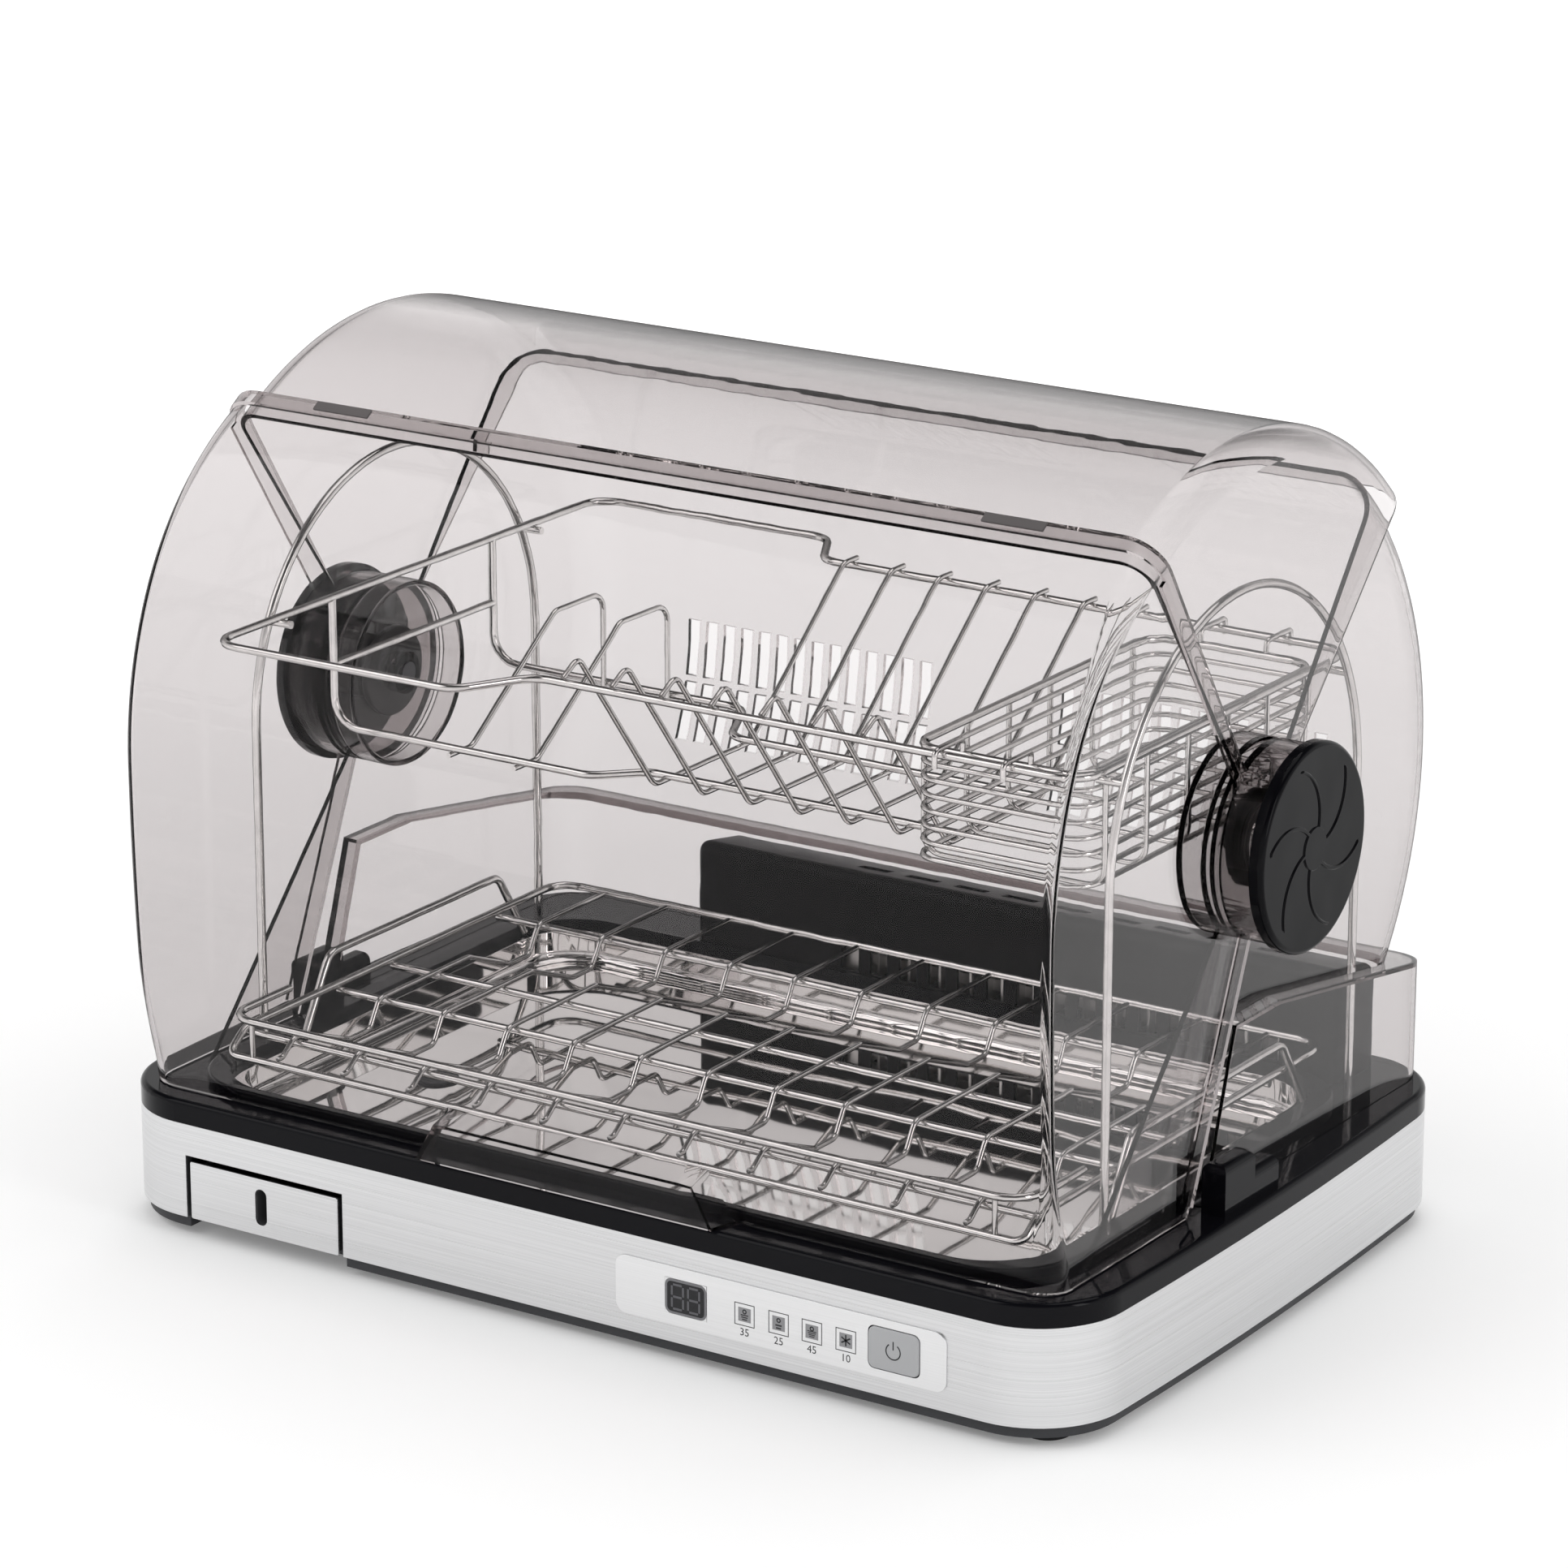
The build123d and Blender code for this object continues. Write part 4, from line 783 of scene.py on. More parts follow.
@dataclass
class FrontCover:
    """The front cover with its edge rib, lifting lip, side arms and pads."""

    hub: Hub
    side: float = 224.0
    radius: float = 171.0
    wall: float = 2.2
    corner: float = 4.0
    upper_corner: float = 14.0
    foot_corner: float = 16.0
    corner_reach: Pair = (155.0, 205.0)
    upper_angle: float = 123.0
    lower_angle: float = 247.0
    foot: float = 61.6
    draw_back: float = 7.7
    rib_width: float = 6.4
    rib_steps: int = 2
    rib_height: float = 2.5
    rib_bite: float = 0.6
    rib_leg: float = 9.0
    lap: float = 0.04
    lip_foot_half: float = 76.0
    lip_head_half: float = 64.0
    lip_height: float = 21.0
    lip_face: float = 17.0
    lip_front: float = -168.7
    lip_cheek: float = 3.0
    lip_lead: float = 10.0
    arm_width: float = 9.0
    arm_height: float = 1.5
    ring_wall: float = 3.0
    ring_length: float = 14.0
    pad_edge: float = 0.4
    snap: float = 0.05
    slack: float = 0.1
    level: float = 180.0
    lowest: float = 240.0
    halvings: int = 40
    side_ring: float = 110.0
    panel_half: float = 150.0
    corner_steps: int = 6
    rib_corner_steps: int = 8
    upper_steps: int = 26
    front_steps: int = 14
    foot_steps: int = 10
    eye_steps: int = 72

    def wall_reach(self, angle: float) -> float:
        """Find the front wall's outside below the hub.

        Args:
            angle: Angle about the hub.

        Returns:
            The radius of the outside.
        """
        drop = self.hub.z - self.foot
        bow = (drop ** 2 + self.draw_back ** 2) / (2 * self.draw_back)
        shift = bow - self.radius
        lean = math.cos(math.radians(angle)) * shift
        return lean + math.sqrt(lean ** 2 - shift ** 2 + bow ** 2)

    def angle_at(self, height: float) -> float:
        """Find where the front wall has a height.

        Args:
            height: The height.

        Returns:
            The angle about the hub.
        """
        low, high = self.level, self.lowest
        for _ in range(self.halvings):
            middle = (low + high) / 2
            reached = self.hub.z + self.wall_reach(middle) * math.sin(math.radians(middle))
            low, high = (middle, high) if reached > height else (low, middle)
        return low

    def corner_at(self, angle: float, foot_angle: float) -> float:
        """Return the corner radius at an angle: wide at the upper edge and at the foot.

        Args:
            angle: Angle about the hub.
            foot_angle: Angle of the front wall's foot.

        Returns:
            The corner radius.
        """
        above, below = self.corner_reach
        upper = max(0.0, (above - angle) / (above - self.upper_angle))
        lower = max(0.0, (angle - below) / (foot_angle - below))
        return (self.corner + (self.upper_corner - self.corner) * upper ** 2
                + (self.foot_corner - self.corner) * lower ** 2)

    def widen_corner(self, vert: bmesh.types.BMVert, foot_angle: float) -> None:
        """Move a vertex of the spun corner onto the corner radius of its angle.

        Args:
            vert: The vertex.
            foot_angle: Angle of the front wall's foot.
        """
        radius, angle = self.hub.polar(vert.co)
        across = abs(vert.co.x) - (self.side - self.corner)
        inside = radius < self.radius - self.corner - self.snap
        if across < -self.snap or inside or angle > foot_angle + self.snap:
            return
        turn = math.atan2(max(0.0, radius - self.radius + self.corner), max(0.0, across))
        wide = self.corner_at(angle, foot_angle)
        x = math.copysign(self.side - wide + wide * math.cos(turn), vert.co.x)
        vert.co = self.hub.at(x, self.radius - wide + wide * math.sin(turn), angle)

    def place_wall(self, bm: bmesh.types.BMesh, foot_angle: float) -> None:
        """Move the spun wall onto the cover's true outline.

        Args:
            bm: The spun sheet.
            foot_angle: Angle of the front wall's foot.
        """
        for vert in bm.verts:
            radius, angle = self.hub.polar(vert.co)
            if radius < self.radius - self.corner - self.snap:
                continue
            self.widen_corner(vert, foot_angle)
            radius = self.hub.polar(vert.co)[0]
            if self.level < angle <= foot_angle + self.snap:
                radius += self.wall_reach(angle) - self.radius
            elif angle > foot_angle:
                radius = (self.hub.z - self.foot) / -math.sin(math.radians(angle))
            vert.co = self.hub.at(vert.co.x, radius, angle)
            if abs(angle - foot_angle) < self.snap:
                vert.co.z = self.foot

    def raise_lip(self, bm: bmesh.types.BMesh) -> None:
        """Draw the lifting lip out of the front wall.

        Args:
            bm: The placed sheet.
        """
        top, shoulder = self.foot + self.lip_height, self.foot + self.lip_face
        for vert in bm.verts:
            x, y, z = vert.co
            reach = self.lip_head_half + self.lip_lead + self.slack
            if z > top - self.slack / 10 or y > self.hub.y - self.radius / 2 or abs(x) > reach:
                continue
            if abs(x) > self.lip_head_half - self.lip_lead - self.slack:
                spread = (self.lip_foot_half - self.lip_head_half) * (top - z) / self.lip_height
                vert.co.x += math.copysign(spread, x)
            if abs(x) < self.lip_head_half - self.slack:
                vert.co.y -= (y - self.lip_front) * min(1.0, (top - z) / (top - shoulder))

    def sheet(self) -> bmesh.types.BMesh:
        """Return the cover as an outside sheet, in millimetres.

        Returns:
            The bmesh.
        """
        bm = bmesh.new()
        foot_angle = self.angle_at(self.foot)
        top, shoulder = self.foot + self.lip_height, self.foot + self.lip_face
        heights = (top, shoulder, (shoulder + self.foot) / 2, self.foot)
        stops = [(self.level, self.upper_steps), (self.angle_at(top + self.lip_lead), self.front_steps)]
        stops += [(self.angle_at(height), 1) for height in heights]
        side_run = [(self.side, ring) for ring in (self.hub.bore, self.hub.eye_radius, self.side_ring)]
        outer = corner_run(self.side, self.radius, self.corner, self.corner_steps)
        head = self.lip_head_half
        lead, cheek = self.lip_lead, self.lip_cheek
        across = (self.panel_half, head + lead, head, head - cheek, head - lead, 0.0)
        stations = [(x, self.radius) for x in across]
        self.hub.turn(bm, both_sides(side_run + outer + stations), self.upper_angle, stops)
        for turn in SIDES:
            edge = [(turn * x, radius) for x, radius in side_run + outer[:1]]
            self.hub.turn(bm, edge, foot_angle, [(self.lower_angle, self.foot_steps)])
            eye = [(turn * x, radius) for x, radius in side_run[:2]]
            self.hub.turn(bm, eye, self.lower_angle, [(self.upper_angle + 360.0, self.eye_steps)])
        self.place_wall(bm, foot_angle)
        self.raise_lip(bm)
        seal(bm)
        return bm

    def arm(self, bm: bmesh.types.BMesh, turn: float, angle: float, spin: float) -> None:
        """Add one raised arm along a radial edge of a side wall.

        Args:
            bm: The bmesh of the ribs.
            turn: Side, 1 or -1.
            angle: Angle of the edge.
            spin: Way from the edge to the arm's middle, 1 or -1.
        """
        end = self.radius - self.upper_corner
        if angle > self.level:
            end = (self.hub.z - self.foot) / -math.sin(math.radians(angle)) - self.arm_width / 2
        start = self.hub.eye_radius - self.rib_bite
        height = self.arm_height + self.rib_bite
        made = bmesh.ops.create_cube(bm, size=1.0)["verts"]
        bmesh.ops.scale(bm, vec=(height, end - start, self.arm_width), verts=made)
        bmesh.ops.translate(bm, vec=(turn * (self.side + self.arm_height - height / 2), (start + end) / 2,
                                     spin * (self.arm_width / 2 + 2 * self.lap)), verts=made)
        lean = Matrix.Rotation(math.radians(angle), 3, "X")
        bmesh.ops.rotate(bm, cent=(0.0, 0.0, 0.0), matrix=lean, verts=made)
        bmesh.ops.translate(bm, vec=(0.0, self.hub.y, self.hub.z), verts=made)

    def edge_rib(self, bm: bmesh.types.BMesh) -> None:
        """Add the rib that stiffens the upper edge and turns down at its corners.

        Args:
            bm: The bmesh of the ribs.
        """
        leg = self.radius - self.upper_corner - self.rib_leg
        side, high = self.side + self.arm_height + self.lap, self.radius + self.rib_height
        bend = corner_run(side, high, self.upper_corner + self.rib_height, self.rib_corner_steps)
        outer = both_sides([(side, leg)] + bend)
        side, low = self.side - self.rib_bite, self.radius - self.rib_bite
        bend = corner_run(side, low, self.upper_corner, self.rib_corner_steps)
        inner = both_sides([(side, leg)] + bend)
        loop = outer + inner[::-1]
        angle = self.upper_angle + math.degrees(self.lap / self.radius)
        section = bm.faces.new([bm.verts.new(self.hub.at(x, radius, angle)) for x, radius in loop])
        start = [section] + list(section.edges) + list(section.verts)
        bmesh.ops.spin(bm, geom=start, cent=(0.0, self.hub.y, self.hub.z), axis=(1.0, 0.0, 0.0),
                       angle=self.rib_width / self.radius, steps=self.rib_steps)

    def ribs(self) -> bmesh.types.BMesh:
        """Return the edge rib, the side arms and the rings round the hub caps, in millimetres.

        Returns:
            The bmesh.
        """
        bm = bmesh.new()
        outer, inner = self.hub.eye_radius, self.hub.eye_radius - self.ring_wall
        low, high = self.side - self.rib_bite, self.side + self.ring_length
        for turn in SIDES:
            self.arm(bm, turn, self.upper_angle, 1.0)
            self.arm(bm, turn, self.lower_angle, -1.0)
            ring = [(turn * low, inner), (turn * low, outer), (turn * high, outer), (turn * high, inner)]
            self.hub.turn(bm, ring + ring[:1], 0.0, [(360.0, self.eye_steps)])
        self.edge_rib(bm)
        seal(bm)
        return bm

    def build(self, shop: Workshop) -> None:
        """Build the cover and its pads.

        Args:
            shop: Makes the pieces.
        """
        sheet = shop.mesh(self.sheet(), "front_cover_sheet")
        ribs = shop.mesh(self.ribs(), "front_cover_ribs")
        form = shop.united(sheet, self.wall, ribs, "front_cover_form")
        for vert in form.vertices:
            vert.co.z = max(vert.co.z, self.foot * MM)
        cover = shop.piece(form, "front_cover_shown", Finish.COVER, Body.FRONT,
                           ("front_cover",))
        shop.soften(cover, 0.0)
        for node in ("bumper_right", "bumper_left"):
            shop.copy_node(node, Finish.PAD, Body.FRONT, self.pad_edge)


@dataclass
class TopCover:
    """The top cover that turns inside the front cover."""

    hub: Hub
    side: float = 220.4
    radius: float = 165.95
    wall: float = 2.2
    corner: float = 12.0
    rear_angle: float = 46.0
    front_angle: float = 125.7
    side_ring: float = 100.0
    middle_half: float = 120.0
    corner_steps: int = 8
    arc_steps: int = 40
    eye_steps: int = 66
    edge: float = 0.5

    def sheet(self) -> bmesh.types.BMesh:
        """Return the cover as an outside sheet, in millimetres.

        Returns:
            The bmesh.
        """
        bm = bmesh.new()
        side_run = [(self.side, ring) for ring in (self.hub.bore, self.hub.eye_radius, self.side_ring)]
        outer = corner_run(self.side, self.radius, self.corner, self.corner_steps)
        middle = [(self.middle_half, self.radius), (0.0, self.radius)]
        profile = both_sides(side_run + outer + middle)
        self.hub.turn(bm, profile, self.rear_angle, [(self.front_angle, self.arc_steps)])
        for turn in SIDES:
            eye = [(turn * x, radius) for x, radius in side_run[:2]]
            self.hub.turn(bm, eye, self.front_angle, [(self.rear_angle + 360.0, self.eye_steps)])
        seal(bm)
        return bm

    def build(self, shop: Workshop) -> None:
        """Build the cover.

        Args:
            shop: Makes the pieces.
        """
        sheet = shop.mesh(self.sheet(), "top_cover_sheet")
        cover = shop.piece(sheet, "top_cover_shown", Finish.TOP, Body.TOP, ("top_cover",))
        thicken(cover, self.wall)
        shop.soften(cover, self.edge)


@dataclass(frozen=True)
class Copied:
    """A piece that follows its CAD node, with the width of its rounded edges."""

    node: str
    finish: SurfaceFinish
    slot: Slot
    edge: float = 0.0
    body: Body = Body.BASE


@dataclass
class Shell:
    """Pieces that follow their solids, and solids that only get a finish."""

    copies: Sequence[Copied] = ()
    dressed: Sequence[Dressed] = ()

    def build(self, shop: Workshop) -> None:
        """Build the pieces.

        Args:
            shop: Makes the pieces.
        """
        for item in self.copies:
            shop.copy_node(item.node, item.finish, item.body, item.edge)
        for node, finish in self.dressed:
            shop.dress(node, finish)


@dataclass
class FixedShell(Shell):
    """The rear cover and the hub pieces that hold the covers."""

    copies: Sequence[Copied] = (
        Copied("rear_cover", Finish.COVER, Slot.CLEAR, 0.4),
        *(Copied(name + side, finish, slot, edge)
          for side in ("_right", "_left")
          for name, finish, slot, edge in (("hub_cap", Finish.CAP, Slot.GLOSS, 0.25),
                                           ("hub_cup", Finish.CUP, Slot.CLEAR, 0.4),
                                           ("pivot", Finish.PIVOT, Slot.DARK, 0.4),
                                           ("rim_clip", Finish.GLOSS, Slot.GLOSS, 0.6))),
    )
    dressed: Sequence[Dressed] = (("hub_screws", Finish.DARK_SCREW),)


@dataclass
class BaseShell(Shell):
    """Pan, steel band, rim, feet, tray, drain spout and cord gland."""

    copies: Sequence[Copied] = (
        Copied("base_pan", Finish.SKIRT, Slot.DARK, 0.5),
        Copied("steel_band", Finish.BRUSHED, Slot.BRUSHED, 0.25),
        Copied("rim_frame", Finish.GLOSS, Slot.GLOSS),
        Copied("feet", Finish.RUBBER, Slot.FOOT, 0.8),
        Copied("drip_tray", Finish.TRAY, Slot.POLISHED, 0.2),
        Copied("drain_spout", Finish.SKIRT, Slot.DARK, 0.3),
        Copied("cord_gland", Finish.INSERT, Slot.DARK, 0.5),
    )
    dressed: Sequence[Dressed] = (("base_screws", Finish.SCREW),)


@dataclass
class WaterDrawer(Shell):
    """Water drawer with its steel front plate and finger slot."""

    copies: Sequence[Copied] = (
        Copied("water_drawer", Finish.DRAWER, Slot.DRAWER, 0.6, Body.DRAWER),
        Copied("drawer_front", Finish.BRUSHED, Slot.BRUSHED, 0.3, Body.DRAWER),
        Copied("finger_insert", Finish.DRAWER, Slot.DRAWER, 0.3, Body.DRAWER),
    )


@dataclass
class Blower(Shell):
    """The blower housing and what turns and heats inside it."""

    copies: Sequence[Copied] = (
        Copied("blower_housing", Finish.HOUSING, Slot.HOUSING, 0.4),
        Copied("fan_wheel", Finish.FAN, Slot.FAN, body=Body.FAN),
    )
    dressed: Sequence[Dressed] = (
        ("fan_motor", Finish.MOTOR), ("fan_bearing", Finish.PIVOT), ("heater", Finish.HEATER),
        ("thermal_cutout", Finish.SCREW),
    )


@dataclass
class ControlPanel:
    """Control plate with its display, icons, minutes and push button."""

    face: float = -167.55
    ink_depth: float = 0.06
    display_x: Pair = (50.0, 70.0)
    display_z: Pair = (21.8, 36.9)
    display_corner: float = 3.0
    bezel_width: float = 1.1
    digit_width: float = 5.4
    digit_height: float = 10.4
    digit_gap: float = 2.4
    segment: float = 0.9
    icon_xs: Sequence[float] = (88.2, 104.4, 120.1, 136.0)
    icon_z: float = 29.0
    icon_size: float = 9.2
    icon_line: float = 0.35
    field_size: float = 6.0
    minutes: Sequence[str] = ("35", "25", "45", "10")
    minute_z: float = 21.4
    minute_size: float = 4.6
    text_steps: int = 3
    button_centre: Pair = (158.3, 29.45)
    button_face: float = -168.05
    power_radius: float = 3.3
    power_line: float = 0.55
    power_gap: float = 70.0
    power_bar_lift: float = 0.75
    power_bar_share: float = 1.1
    segment_gap: float = 1.3
    ring_steps: int = 28
    corner_steps: int = 8
    dishes: Sequence[int] = (3, 2, 4, 0)
    star_turns: Sequence[float] = (0.0, 60.0, 120.0)
    star_share: float = 0.8
    stack_share: float = 0.62
    stack_drop: float = 0.34
    dish_width: Pair = (0.4, 0.1)
    dish_share: float = 0.55
    cup_lift: float = 0.22
    cup_radius: float = 0.13
    cup_line: float = 1.6
    plate_edge: float = 0.3
    button_edge: float = 0.5
    dressed: Sequence[Dressed] = (
        ("display_module", Finish.DISPLAY), ("push_switch", Finish.INSERT), ("control_board", Finish.BOARD),
    )

    def bar(self, bm: bmesh.types.BMesh, centre: Pair, size: Pair, face: float, lean: float = 0.0) -> None:
        """Add a flat printed bar.

        Args:
            bm: The bmesh that gets the bar.
            centre: X and Z of its middle.
            size: Width and height.
            face: Y of the face that carries it.
            lean: Turn in the plate's plane, in degrees.
        """
        made = bmesh.ops.create_cube(bm, size=1.0)["verts"]
        bmesh.ops.scale(bm, vec=(size[0], self.ink_depth, size[1]), verts=made)
        turn = Matrix.Rotation(math.radians(lean), 3, "Y")
        bmesh.ops.rotate(bm, cent=(0.0, 0.0, 0.0), matrix=turn, verts=made)
        bmesh.ops.translate(bm, vec=(centre[0], face, centre[1]), verts=made)

    def ring(self, bm: bmesh.types.BMesh, centre: Pair, radius: float, line: float, face: float,
             gap: float = 0.0) -> None:
        """Add a flat printed ring, open at its top by a gap.

        Args:
            bm: The bmesh that gets the ring.
            centre: X and Z of its middle.
            radius: Radius of the line's middle.
            line: Line width.
            face: Y of the face that carries it.
            gap: Open angle at the top, in degrees.
        """
        low, high = radius - line / 2, radius + line / 2
        half = self.ink_depth / 2
        corners = [(low, -half), (high, -half), (high, half), (low, half)]
        start = math.radians(90.0 + gap / 2)
        verts = [bm.verts.new((centre[0] + r * math.cos(start), face + y, centre[1] + r * math.sin(start)))
                 for r, y in corners]
        loop = [bm.edges.new(pair) for pair in zip(verts, verts[1:] + verts[:1])]
        geom = [bm.faces.new(verts)] if gap > 0.0 else verts + loop
        bmesh.ops.spin(bm, geom=geom, cent=(centre[0], face, centre[1]), axis=(0.0, -1.0, 0.0),
                       angle=math.radians(360.0 - gap), steps=self.ring_steps, use_merge=gap == 0.0)
        bmesh.ops.recalc_face_normals(bm, faces=bm.faces)

    def icon(self, bm: bmesh.types.BMesh, x: float, plates: int) -> None:
        """Add one program icon: a square frame with dishes.

        Args:
            bm: The bmesh that gets the icon.
            x: X of its middle.
            plates: Number of dishes shown.
        """
        half = self.icon_size / 2
        line = self.icon_line
        for side in (-1.0, 1.0):
            self.bar(bm, (x, self.icon_z + side * half), (self.icon_size + line, line), self.face)
            self.bar(bm, (x + side * half, self.icon_z), (line, self.icon_size - line), self.face)
        if plates == 0:
            stroke = (line * 2, self.field_size * self.star_share)
            for turn in self.star_turns:
                self.bar(bm, (x, self.icon_z), stroke, self.face, turn)
            return
        size = self.field_size
        step = size * self.stack_share / (plates + 1)
        least, growth = self.dish_width
        for index in range(plates):
            z = self.icon_z - size * self.stack_drop + index * step
            self.bar(bm, (x, z), (size * (least + growth * index), step * self.dish_share), self.face)
        cup = (x, self.icon_z + size * self.cup_lift)
        self.ring(bm, cup, size * self.cup_radius, line * self.cup_line, self.face)

    def panes(self, shop: Workshop) -> None:
        """Add the display's rounded bezel and, within it, its dark glass.

        Args:
            shop: Makes the pieces.
        """
        middle = (sum(self.display_x) / 2, sum(self.display_z) / 2)
        size = (self.display_x[1] - self.display_x[0], self.display_z[1] - self.display_z[0])
        layers = (("display_bezel", Finish.BEZEL), ("display_glass", Finish.DISPLAY))
        for step, (name, finish) in enumerate(layers):
            inset = step * self.bezel_width
            bm = bmesh.new()
            face = self.face - step * self.ink_depth
            self.bar(bm, middle, (size[0] - 2 * inset, size[1] - 2 * inset), face)
            through = [edge for edge in bm.edges
                       if abs(edge.verts[0].co.y - edge.verts[1].co.y) > self.ink_depth / 2]
            bmesh.ops.bevel(bm, geom=through, offset=self.display_corner - inset, affect="EDGES",
                            segments=self.corner_steps, profile=0.5, material=-1)
            shop.piece(shop.mesh(bm, name + "_form"), name, finish, Body.BASE)

    def digit(self, bm: bmesh.types.BMesh, left: float, low: float) -> None:
        """Add the seven bars of one digit.

        Args:
            bm: The bmesh that gets the digit.
            left: X of its left side.
            low: Z of its foot.
        """
        width, height, line = self.digit_width, self.digit_height, self.segment
        face = self.face - 2 * self.ink_depth
        for step in range(3):
            across = (width - line * self.segment_gap, line)
            self.bar(bm, (left + width / 2, low + height * step / 2), across, face)
        for x in (left, left + width):
            for step in (0.25, 0.75):
                upright = (line, height / 2 - line * self.segment_gap)
                self.bar(bm, (x, low + height * step), upright, face)

    def number(self, text: str, x: float) -> bpy.types.Mesh:
        """Return printed minutes as a mesh on the plate.

        Args:
            text: The digits.
            x: X of their middle.

        Returns:
            The mesh in metres.
        """
        curve = bpy.data.curves.new("minutes_" + text, "FONT")
        curve.body = text
        curve.size = self.minute_size * MM
        curve.align_x = "CENTER"
        curve.align_y = "CENTER"
        curve.extrude = self.ink_depth * MM / 2
        curve.resolution_u = self.text_steps
        mesh = curve_mesh(curve)
        place = Matrix.Translation(Vector((x, self.face, self.minute_z)) * MM)
        mesh.transform(place @ Matrix.Rotation(math.pi / 2, 4, "X"))
        return mesh

    def build(self, shop: Workshop) -> None:
        """Build the control plate and what it carries.

        Args:
            shop: Makes the pieces.
        """
        shop.copy_node("control_panel", Finish.PLATE, Body.BASE, self.plate_edge)
        shop.copy_node("display_window", Finish.PLATE, Body.BASE)
        self.panes(shop)
        self.digits(shop)
        self.programs(shop)
        self.button(shop)
        for node, finish in self.dressed:
            shop.dress(node, finish)

    def digits(self, shop: Workshop) -> None:
        """Add the display's two digits.

        Args:
            shop: Makes the pieces.
        """
        bm = bmesh.new()
        middle = sum(self.display_x) / 2
        low = sum(self.display_z) / 2 - self.digit_height / 2
        for left in (middle - self.digit_gap / 2 - self.digit_width, middle + self.digit_gap / 2):
            self.digit(bm, left, low)
        shop.piece(shop.mesh(bm, "digit_forms"), "display_digits", Finish.SEGMENT, Body.BASE)

    def programs(self, shop: Workshop) -> None:
        """Add the programs' fields, icons and minutes.

        Args:
            shop: Makes the pieces.
        """
        bm = bmesh.new()
        face = self.face + self.ink_depth / 4
        for x in self.icon_xs:
            self.bar(bm, (x, self.icon_z), (self.field_size, self.field_size), face)
        shop.piece(shop.mesh(bm, "icon_field_forms"), "program_fields", Finish.FIELD, Body.BASE)
        bm = bmesh.new()
        for x, plates in zip(self.icon_xs, self.dishes):
            self.icon(bm, x, plates)
        shop.piece(shop.mesh(bm, "icon_forms"), "program_icons", Finish.INK, Body.BASE)
        for index, (text, x) in enumerate(zip(self.minutes, self.icon_xs)):
            shop.piece(self.number(text, x), f"program_minutes_{index}", Finish.INK, Body.BASE)

    def button(self, shop: Workshop) -> None:
        """Build the push button with its sign.

        Args:
            shop: Makes the pieces.
        """
        shop.copy_node("power_button", Finish.BUTTON, Body.BUTTON, self.button_edge)
        bm = bmesh.new()
        x, z = self.button_centre
        self.ring(bm, (x, z), self.power_radius, self.power_line, self.button_face, self.power_gap)
        stroke = (self.power_line, self.power_radius * self.power_bar_share)
        self.bar(bm, (x, z + self.power_radius * self.power_bar_lift), stroke, self.button_face)
        shop.piece(shop.mesh(bm, "power_sign_form"), "power_sign", Finish.INK, Body.BUTTON)


@dataclass
class Arches:
    """The two wire arches that carry the upper rack."""

    hub: Hub
    side: float = 208.0
    radius: float = 101.5
    gauge: float = 3.8
    peg_gauge: float = 3.6
    peg_z: float = 248.8
    peg_reach: float = 12.0
    foot: float = 56.6
    arc_corners: int = 8
    reach_share: float = 0.5

    def wires(self, turn: float) -> list[Wire]:
        """Return one arch and its two pegs.

        Args:
            turn: Side, 1 or -1.

        Returns:
            The wires.
        """
        x = turn * self.side
        step = 180.0 / self.arc_corners
        reach = self.radius / math.cos(math.radians(step / 2))
        turns = [180.0 - step * (index + 0.5) for index in range(self.arc_corners)]
        arc = [tuple(self.hub.at(x, reach, angle)) for angle in turns]
        ends = [(x, self.hub.y - self.radius, self.foot), (x, self.hub.y + self.radius, self.foot)]
        peg_y = math.sqrt(self.radius ** 2 - (self.peg_z - self.hub.z) ** 2)
        pegs = [Wire([(x, self.hub.y + way * peg_y, self.peg_z),
                      (x - turn * self.peg_reach, self.hub.y + way * peg_y, self.peg_z)], self.peg_gauge)
                for way in (-1.0, 1.0)]
        return [Wire([ends[0]] + arc + [ends[1]], self.gauge, self.radius)] + pegs

    def build(self, shop: Workshop, work: WireWork) -> None:
        """Build both arches.

        Args:
            shop: Makes the pieces.
            work: Bends the wires.
        """
        full = WireWork(self.reach_share, work.arc_steps, work.ring_steps)
        for name, turn in (("arch_right", 1.0), ("arch_left", -1.0)):
            full.build(shop, name, self.wires(turn))


